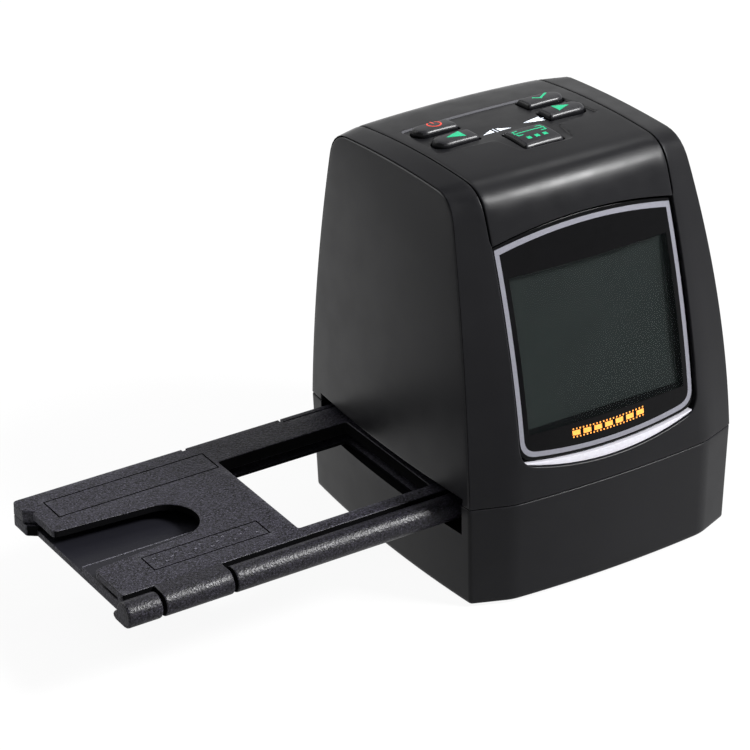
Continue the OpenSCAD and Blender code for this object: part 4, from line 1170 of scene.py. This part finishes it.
def base_walls():
    """Outer and inner wall, rim and the slots' edges, with the lowest row of both walls."""
    s = Solid()
    levels = [4, 7, 10, 13, 16, SLOT[2], 21, 23, 25]
    foot = [(0.0, 0.7), (0.07, 0.36), (0.28, 0.13), (0.7, 0.0), (1.4, 0.0)]
    rim = [(SEAM_LOW - 0.3, 0.0), (SEAM_LOW - 0.12, 0.07), (SEAM_LOW, 0.24)]
    outer_at = foot + [(z, 0.0) for z in levels] + rim
    inner_at = [(z, WALL_T) for z in [FLOOR_T] + levels + [SEAM_LOW]]
    outer = [[(x, y, z) for x, y in ring(z, inset)] for z, inset in outer_at]
    inner = [[(x, y, z) for x, y in ring(z, inset)] for z, inset in inner_at]
    stations = around(len(outer[0]))

    def is_open(z, k):
        """Whether the wall after station k is cut away at a height."""
        a, b = (outer[0][i] for i in stations[k])
        in_slot = SLOT[0] - 0.01 < (a[1] + b[1]) / 2 < SLOT[1] + 0.01
        return in_slot and min(abs(a[0]), abs(b[0])) > 38 and z >= SLOT_FLOOR

    # the inner wall takes the second material, painted shade
    for rows, flip in ((outer, False), (inner, True)):
        for a, b in zip(rows, rows[1:]):
            for k, m in stations:
                if not is_open(min(a[k][2], a[m][2]), k):
                    quad = [a[k], a[m], b[m], b[k]]
                    s.face(quad[::-1] if flip else quad, int(flip))
    for k, m in stations:
        if not is_open(SEAM_LOW, k):
            s.face([outer[-1][k], outer[-1][m], inner[-1][m], inner[-1][k]])
    # floor and upright ends of the slots, in painted shade
    high_out = [row for row in outer if row[0][2] >= SLOT_FLOOR]
    high_in = [row for row in inner if row[0][2] >= SLOT_FLOOR]
    for k, m in stations:
        here, there = is_open(SLOT[2], k), is_open(SLOT[2], m)
        if here:
            s.face([high_out[0][k], high_out[0][m], high_in[0][m], high_in[0][k]], 1)
        if here != there:
            wall = [row[m] for row in high_out] + [row[m] for row in high_in[::-1]]
            s.face(wall if there else wall[::-1], 1)
    return s, outer[0], inner[0]


base, low_outer, low_inner = base_walls()
foot_loops = [circle(sx * 31, sy * 25, 4.6, 40) for sx, sy in mirrors]
bore_at = [(24, -35.2), (31.5, 33.6), (11, 35.6)]
bore_loops = [circle(sx * x, y, 2.05, 24) for sx in (-1, 1) for x, y in bore_at]


def lay(z, row, holes, down):
    """A flat sheet with holes across the base at a height."""
    sh = Shell(lambda u, v, d: (u, v, z))
    sh.sheet(ccw([(x, y) for x, y, _ in row]), [cw(h) for h in holes], 0.0, 6.0, flip=down)
    for f in sh.faces:
        base.face([sh.points[i] for i in f])


lay(0.0, low_outer, foot_loops + bore_loops, True)
lay(FLOOR_T, low_inner, bore_loops, False)
for loops, deep in ((foot_loops, FOOT_DEEP), (bore_loops, FLOOR_T)):
    for loop in loops:
        for k, m in around(len(loop)):
            a, b = loop[k], loop[m]
            base.face([(*a, 0.0), (*a, deep), (*b, deep), (*b, 0.0)])
        if deep == FOOT_DEEP:
            base.face([(*p, deep) for p in loop[::-1]])
make("base_shell_skin", [base], ["base_shell"], "scanner", [case_mat, painted_shade_mat])

# ---------------------------------------------------------------- film holder


TRAY_X0, TRAY_Y0 = -128.6, -22.3
LID_X0, LID_Y0, LID_STEP = -129.2, -22.5, 1.8  # corner of the lid, and thickness of its upper part
NOTCHES = (-23.1, -82.3)  # where the spring clicks in
LID_KNUCKLES = [(-120.8, -102.2), (7.3, 25.9)]
TRAY_BARRELS = [(HOLDER_X0, -121.7), (-101.3, 6.4), (26.8, HOLDER_X1)]
GROOVE = 0.26  # depth of the engraved frames


def flat(z_top):
    return lambda u, v, d: (u, v, z_top - d)


def slab(z_top, loop, cut, holes=(), **more):
    """A plate below z_top, its edges cut into parts of cut mm."""
    sh = Shell(flat(z_top))
    sh.plate(resample(loop, cut), [resample(h, cut) for h in holes], **more)
    return sh


def bar(x0, x1, profile, edge):
    """A bar along X from a (y, z) profile, with its end edges rounded."""
    s = Solid()
    profile = ccw(profile)
    turn = np.linspace(0, math.pi / 2, 4)
    near = [(x0 + edge * (1 - math.sin(a)), edge * (1 - math.cos(a))) for a in turn]
    stations = near[::-1] + [(x0 + x1 - x, inset) for x, inset in near]
    loops = [[(x, y, z) for y, z in offset(profile, inset)] for x, inset in stations]
    for a, b in zip(loops, loops[1:]):
        for k, m in around(len(profile)):
            s.face([b[k], b[m], a[m], a[k]])
    s.face(loops[0][::-1])
    s.face(loops[-1])
    return s


def arc(a0, a1):
    turn = np.radians(np.linspace(a0, a1, 29))
    return [(HINGE_Y + BARREL_R * math.cos(t), HINGE_Z + BARREL_R * math.sin(t)) for t in turn]


def barrel(a, b, profile, edge):
    """A stretch of the hinge, grained all round, with painted shade on its end faces at the
    knuckles' gaps.
    """
    piece = bar(a, b, profile, edge)
    for k, f in enumerate(piece.faces):
        xs = [piece.points[i][0] for i in f]
        at_end = max(xs) - a < 0.1 or b - min(xs) < 0.1
        piece.slots[k] = 3 if at_end and min(xs) > HOLDER_X0 + 1 else 1
    return piece


def darken(sh, block):
    """Upright walls get the fourth material, painted shade, but for the outer end; block takes its
    corner too.
    """
    for k, f in enumerate(sh.faces):
        p = [np.array(sh.points[i]) for i in f[:3]]
        n = np.cross(p[1] - p[0], p[2] - p[0])
        n /= max(np.linalg.norm(n), 1e-9)
        outer_end = n[0] < -0.6 and p[0][0] < -118
        corner = p[0][1] > 22 and p[0][0] < -128
        if abs(n[2]) < 0.3 and not outer_end and (block or not corner):
            sh.slots[k] = 3


def notch(x):
    """A notch in the back edge, from right to left."""
    y, deep = HOLDER_Y1, HOLDER_Y1 - 0.8
    return [(x + 0.6, y), (x + 0.6, deep), (x - 0.6, deep), (x - 0.6, y)]


def tray_outline(gap):
    """From the left end along the front, with the knuckles' pockets, and back along the rear."""
    pts = [(TRAY_X0, TRAY_Y0)]
    for a, b in LID_KNUCKLES:
        a, b, deep = a - gap, b + gap, TRAY_Y0 + 0.4
        pts += [(a, TRAY_Y0), (a, deep), (b, deep), (b, TRAY_Y0)]
    pts += [(HOLDER_X1, TRAY_Y0), (HOLDER_X1, HOLDER_Y1)] + notch(NOTCHES[0]) + notch(NOTCHES[1])
    pts += [(HOLDER_X0 + 0.8, HOLDER_Y1), (HOLDER_X0, HOLDER_Y1 - 0.8)]
    return pts + [(HOLDER_X0, 24.0), (HOLDER_X0 + 0.3, 23.5), (TRAY_X0, 22.0)]


def around_windows(w, h):
    return [rect(x - w, WINDOW_Y - h, x + w, WINDOW_Y + h) for x in (-PITCH, 0.0)]


windows = [rounded(loop, 0.6, 3) for loop in around_windows(19.1, 19.3)]
pockets = around_windows(25.2, 25.2)
grip_cut = [(-128.0, 22.0), (-128.0, 23.8), (-90.3, 23.8), (-90.3, -20.0), (TRAY_X0, -20.0)]
tray = [
    slab(20.3, tray_outline(0.3), 6, windows, thick=1.1, step=8, back_edge=0.4),
    slab(21.1, tray_outline(0.3), 6, pockets, thick=0.8, step=8),
    slab(PARTING_Z, tray_outline(0.6) + grip_cut, 6, pockets, thick=1.2, edge=0.18, step=8,
         hole_edge=0.0),
]
for sh in tray:
    darken(sh, True)
# rim behind the lid
rim = [(-53.6, 29.0), (HOLDER_X1, 29.0), (HOLDER_X1, HOLDER_Y1)]
rim += [*notch(NOTCHES[0]), (-53.6, HOLDER_Y1)]
tray.append(slab(HOLDER_TOP, rim, 5, thick=3.5, edge=0.25, step=5))
inner_side = [(TRAY_Y0, HOLDER_Z)]
nose = [(-21.6, HOLDER_Z), (-20.5, 19.8), (-20.3, 20.6), (-20.8, 21.3), (-22.0, 22.2)]
for a, b in TRAY_BARRELS:
    first = a == HOLDER_X0
    tray.append(barrel(a, b, arc(20, 270) + nose if first else arc(0, 270) + inner_side,
                       0.6 if first else 0.4))
# step in the floor under the thumb cut, a strip along its edge in pale grain as a painted highlight
# that shows as a pale line, and the floor
for z_top, box, thick, edge, slot in (
    (PARTING_Z, (-128.6, -20.0, -90.3, -1.1), 1.2, 0.2, 2),
    (PARTING_Z + 0.1, (-128.5, -1.3, -90.3, -0.85), 1.3, 0.12, 4),
    (21.12, (-128.5, -0.85, -90.3, 23.7), 0.3, 0.0, 2),
):
    tray.append(slab(z_top, rect(*box), 4, thick=thick, edge=edge, step=5, slot=slot))
tray_finishes = [holder_mat, barrel_mat, floor_mat, painted_shade_mat, pale_mark_and_highlight_mat]
make("holder_tray_body", tray, ["holder_tray"], "film_holder", tray_finishes)

LID_BACK = [(LID_X0, LID_Y0), (HOLDER_X1, LID_Y0), (HOLDER_X1, 28.8), (-54.2, 28.8),
            (-54.2, HOLDER_Y1), *notch(NOTCHES[1])]


def lid_outline():
    r, flare = 8.25, 2.0
    tx, ty = -103.8, WINDOW_Y + 0.9
    turn = np.linspace(math.pi / 2, -math.pi / 2, 29)
    thumb = [(tx + r * math.cos(t), ty + r * math.sin(t)) for t in turn]
    left = [(HOLDER_X0, HOLDER_Y1), (HOLDER_X0, 25.1), (-128.2, 23.0), (LID_X0, 23.0)]
    left += [(LID_X0, ty + r + flare)]
    pts = LID_BACK + left + thumb + [(LID_X0, ty - r - flare)]
    radii = [0.8] + [0] * 8 + [1.2, 0.7, 0.6, 0.8, 1.6] + [0] * len(thumb) + [1.6]
    return rounded(pts, radii, 4)


outline = ccw(resample(lid_outline(), 3))
holes = [cw(resample(w, 3)) for w in windows]
frame_boxes = [(-124.8, 17.4, -79.4, 26.0), (-117.4, -16.8, -85.1, -9.9)]
frames = [cw(resample(rect(*box), 3)) for box in frame_boxes]
sh = Shell(flat(HOLDER_TOP))
sh.sheet(offset(outline, 0.35), [offset(h, 0.3) for h in holes] + frames, 0.0, 3.0)
sh.walls(outline, lip(0.35, LID_STEP))
for h in holes:
    sh.walls(h, lip(0.3, LID_STEP))
# the engraved frames' walls take the fourth material, painted shade
for f in frames:
    sh.walls(f, [(0.0, 0.0), (-0.14, GROOVE), (-0.26, GROOVE), (-0.4, 0.0)], 3)
    sh.sheet(offset(f, -0.4)[::-1], [], 0.0, 3.0)
sh.sheet(outline, holes, LID_STEP, 4.0, flip=True)
# the thicker part of the lid, right of the grip, and its front and back rails
low = LID_BACK + [(HOLDER_X0 + 0.8, HOLDER_Y1), (HOLDER_X0, HOLDER_Y1 - 0.8), (HOLDER_X0, 25.1),
                  (-128.2, 23.0), (-128.2, 21.6), (-82.3, 21.6), (-82.3, -20.0), (LID_X0, -20.0)]
lid = [sh, slab(HOLDER_TOP - LID_STEP, low, 5, windows, thick=1.6, step=6, back_edge=0.2)]
for sh in lid:
    darken(sh, False)
# small raised marks in the second frame
for k, x in enumerate(np.linspace(-114.8, -87.6, 14)):
    y = (-12.1, -13.4, -14.7)[k * 2 % 3]
    side_view = rect(y - 0.2, HOLDER_TOP - 0.1, y + 0.2, HOLDER_TOP + 0.12)
    mark = bar(x - 0.45, x + 0.45, side_view, 0.05)
    mark.slots = [2] * len(mark.faces)
    lid.append(mark)
knuckle = [(-22.2, HOLDER_TOP - 0.03), (HINGE_Y, HOLDER_TOP - 0.03)] + arc(92, 360)[1:]
lid += [barrel(a, b, knuckle, 0.4) for a, b in LID_KNUCKLES]
lid_finishes = [holder_mat, barrel_mat, pale_mark_and_highlight_mat, painted_shade_mat]
make("holder_lid_body", lid, ["holder_lid"], "holder_lid", lid_finishes)

# ---------------------------------------------------------------- camera, floor and light

cam_data = bpy.data.cameras.new("camera")
cam = bpy.data.objects.new("camera", cam_data)
bpy.context.scene.collection.objects.link(cam)
SENSOR, FOCAL_PX, FRAME_PX = 36, 3237.1, 750  # film width in mm, focal length and frame in pixels
cam_data.lens = FOCAL_PX / FRAME_PX * SENSOR
cam_data.sensor_width = SENSOR
cam_data.clip_start, cam_data.clip_end = 0.05, 20
right = Vector((0.8400, -0.5425, 0.0)).normalized()
back_axis = Vector((-0.4784, -0.7407, 0.4718)).normalized()
up = back_axis.cross(right).normalized()
right = up.cross(back_axis)
turned = Matrix((right, up, back_axis)).transposed().to_4x4()
cam.matrix_world = Matrix.Translation((-0.4290, -0.5957, 0.4291)) @ turned
bpy.context.scene.camera = cam

floor_mesh = bpy.data.meshes.new("floor")
FLOOR_Z = -0.0008  # the rubber feet's underside
floor_corners = [(x, y, FLOOR_Z) for x, y in rect(-4.0, -4.0, 4.0, 4.0)]
floor_mesh.from_pydata(floor_corners, [], [(0, 1, 2, 3)])
floor = bpy.data.objects.new("floor", floor_mesh)
bpy.context.scene.collection.objects.link(floor)
fm = Mat("floor_white", (0.8, 0.8, 0.8, 1), 0.9, spec=0.1)
fm.bump(fm.noise(300, 2), 2e-5, 0.1)
glow = fm.node("Emission", Color=(1, 1, 1, 1))
# painted shade: what gloss sees of the floor is dimmed ahead on the left, away from the lamps
place = fm.node("SeparateXYZ")
fm.feed(place.inputs[0], fm.coord)
ahead = [fm.math("MULTIPLY", place.outputs[axis], by) for axis, by in (("X", -0.82), ("Y", -0.57))]
dim = fm.ramp(fm.math("ADD", *ahead), 0.02, 0.12, 1.0, 0.3)
camera_ray = fm.node("LightPath").outputs["Is Camera Ray"]
fm.feed(glow.inputs["Strength"], fm.math("MAXIMUM", camera_ray, dim))
fm.choose(fm.math("MULTIPLY", fm.seen(), 0.93), fm.p, glow, "Material Output")
floor_mesh.materials.append(fm.m)

world = bpy.data.worlds.new("studio")
bpy.context.scene.world = world
world.use_nodes = True
sky = Nodes(world.node_tree)
ambient = sky.tree.nodes["Background"]
ambient.inputs["Color"].default_value = (1, 1, 1, 1)
ambient.inputs["Strength"].default_value = 0.2
# what eyes, metal and glass see: white round the horizon, and a dimmer ceiling
split = sky.node("SeparateXYZ")
sky.feed(split.inputs[0], sky.node("TexCoord").outputs["Generated"])
room = sky.node("Background")
sky.feed(room.inputs["Strength"], sky.ramp(split.outputs["Z"], 0.3, 0.75, 1.0, 0.15))
sky.choose(sky.seen(), ambient, room, "World Output")

LAMP_AIM, LAMP_FAR = Vector((-0.01, 0.0, 0.05)), 1.3


def lamp(name, azimuth, elevation, size, level):
    """A softbox that stands in a direction from the object; level is the irradiance there."""
    az, el = math.radians(azimuth), math.radians(elevation)
    way = Vector((math.cos(el) * math.cos(az), math.cos(el) * math.sin(az), math.sin(el)))
    d = bpy.data.lights.new(name, "AREA")
    d.shape = "RECTANGLE"
    d.size, d.size_y, d.energy = size, size, level * math.pi * LAMP_FAR * LAMP_FAR
    o = bpy.data.objects.new(name, d)
    bpy.context.scene.collection.objects.link(o)
    o.location = LAMP_AIM + way * LAMP_FAR
    o.rotation_euler = (-way).to_track_quat("-Z", "Y").to_euler()


lamp("key_softbox", -46, 42, 0.32, 6.4)
lamp("right_softbox", -24, 44, 0.5, 1.2)
lamp("back_softbox", 36, 50, 0.35, 0.3)
lamp("ceiling_panel", 0, 70, 0.7, 0.3)
lamp("rear_panel", 118, 42, 0.9, 1.6)

bpy.context.scene.view_settings.view_transform = "Standard"
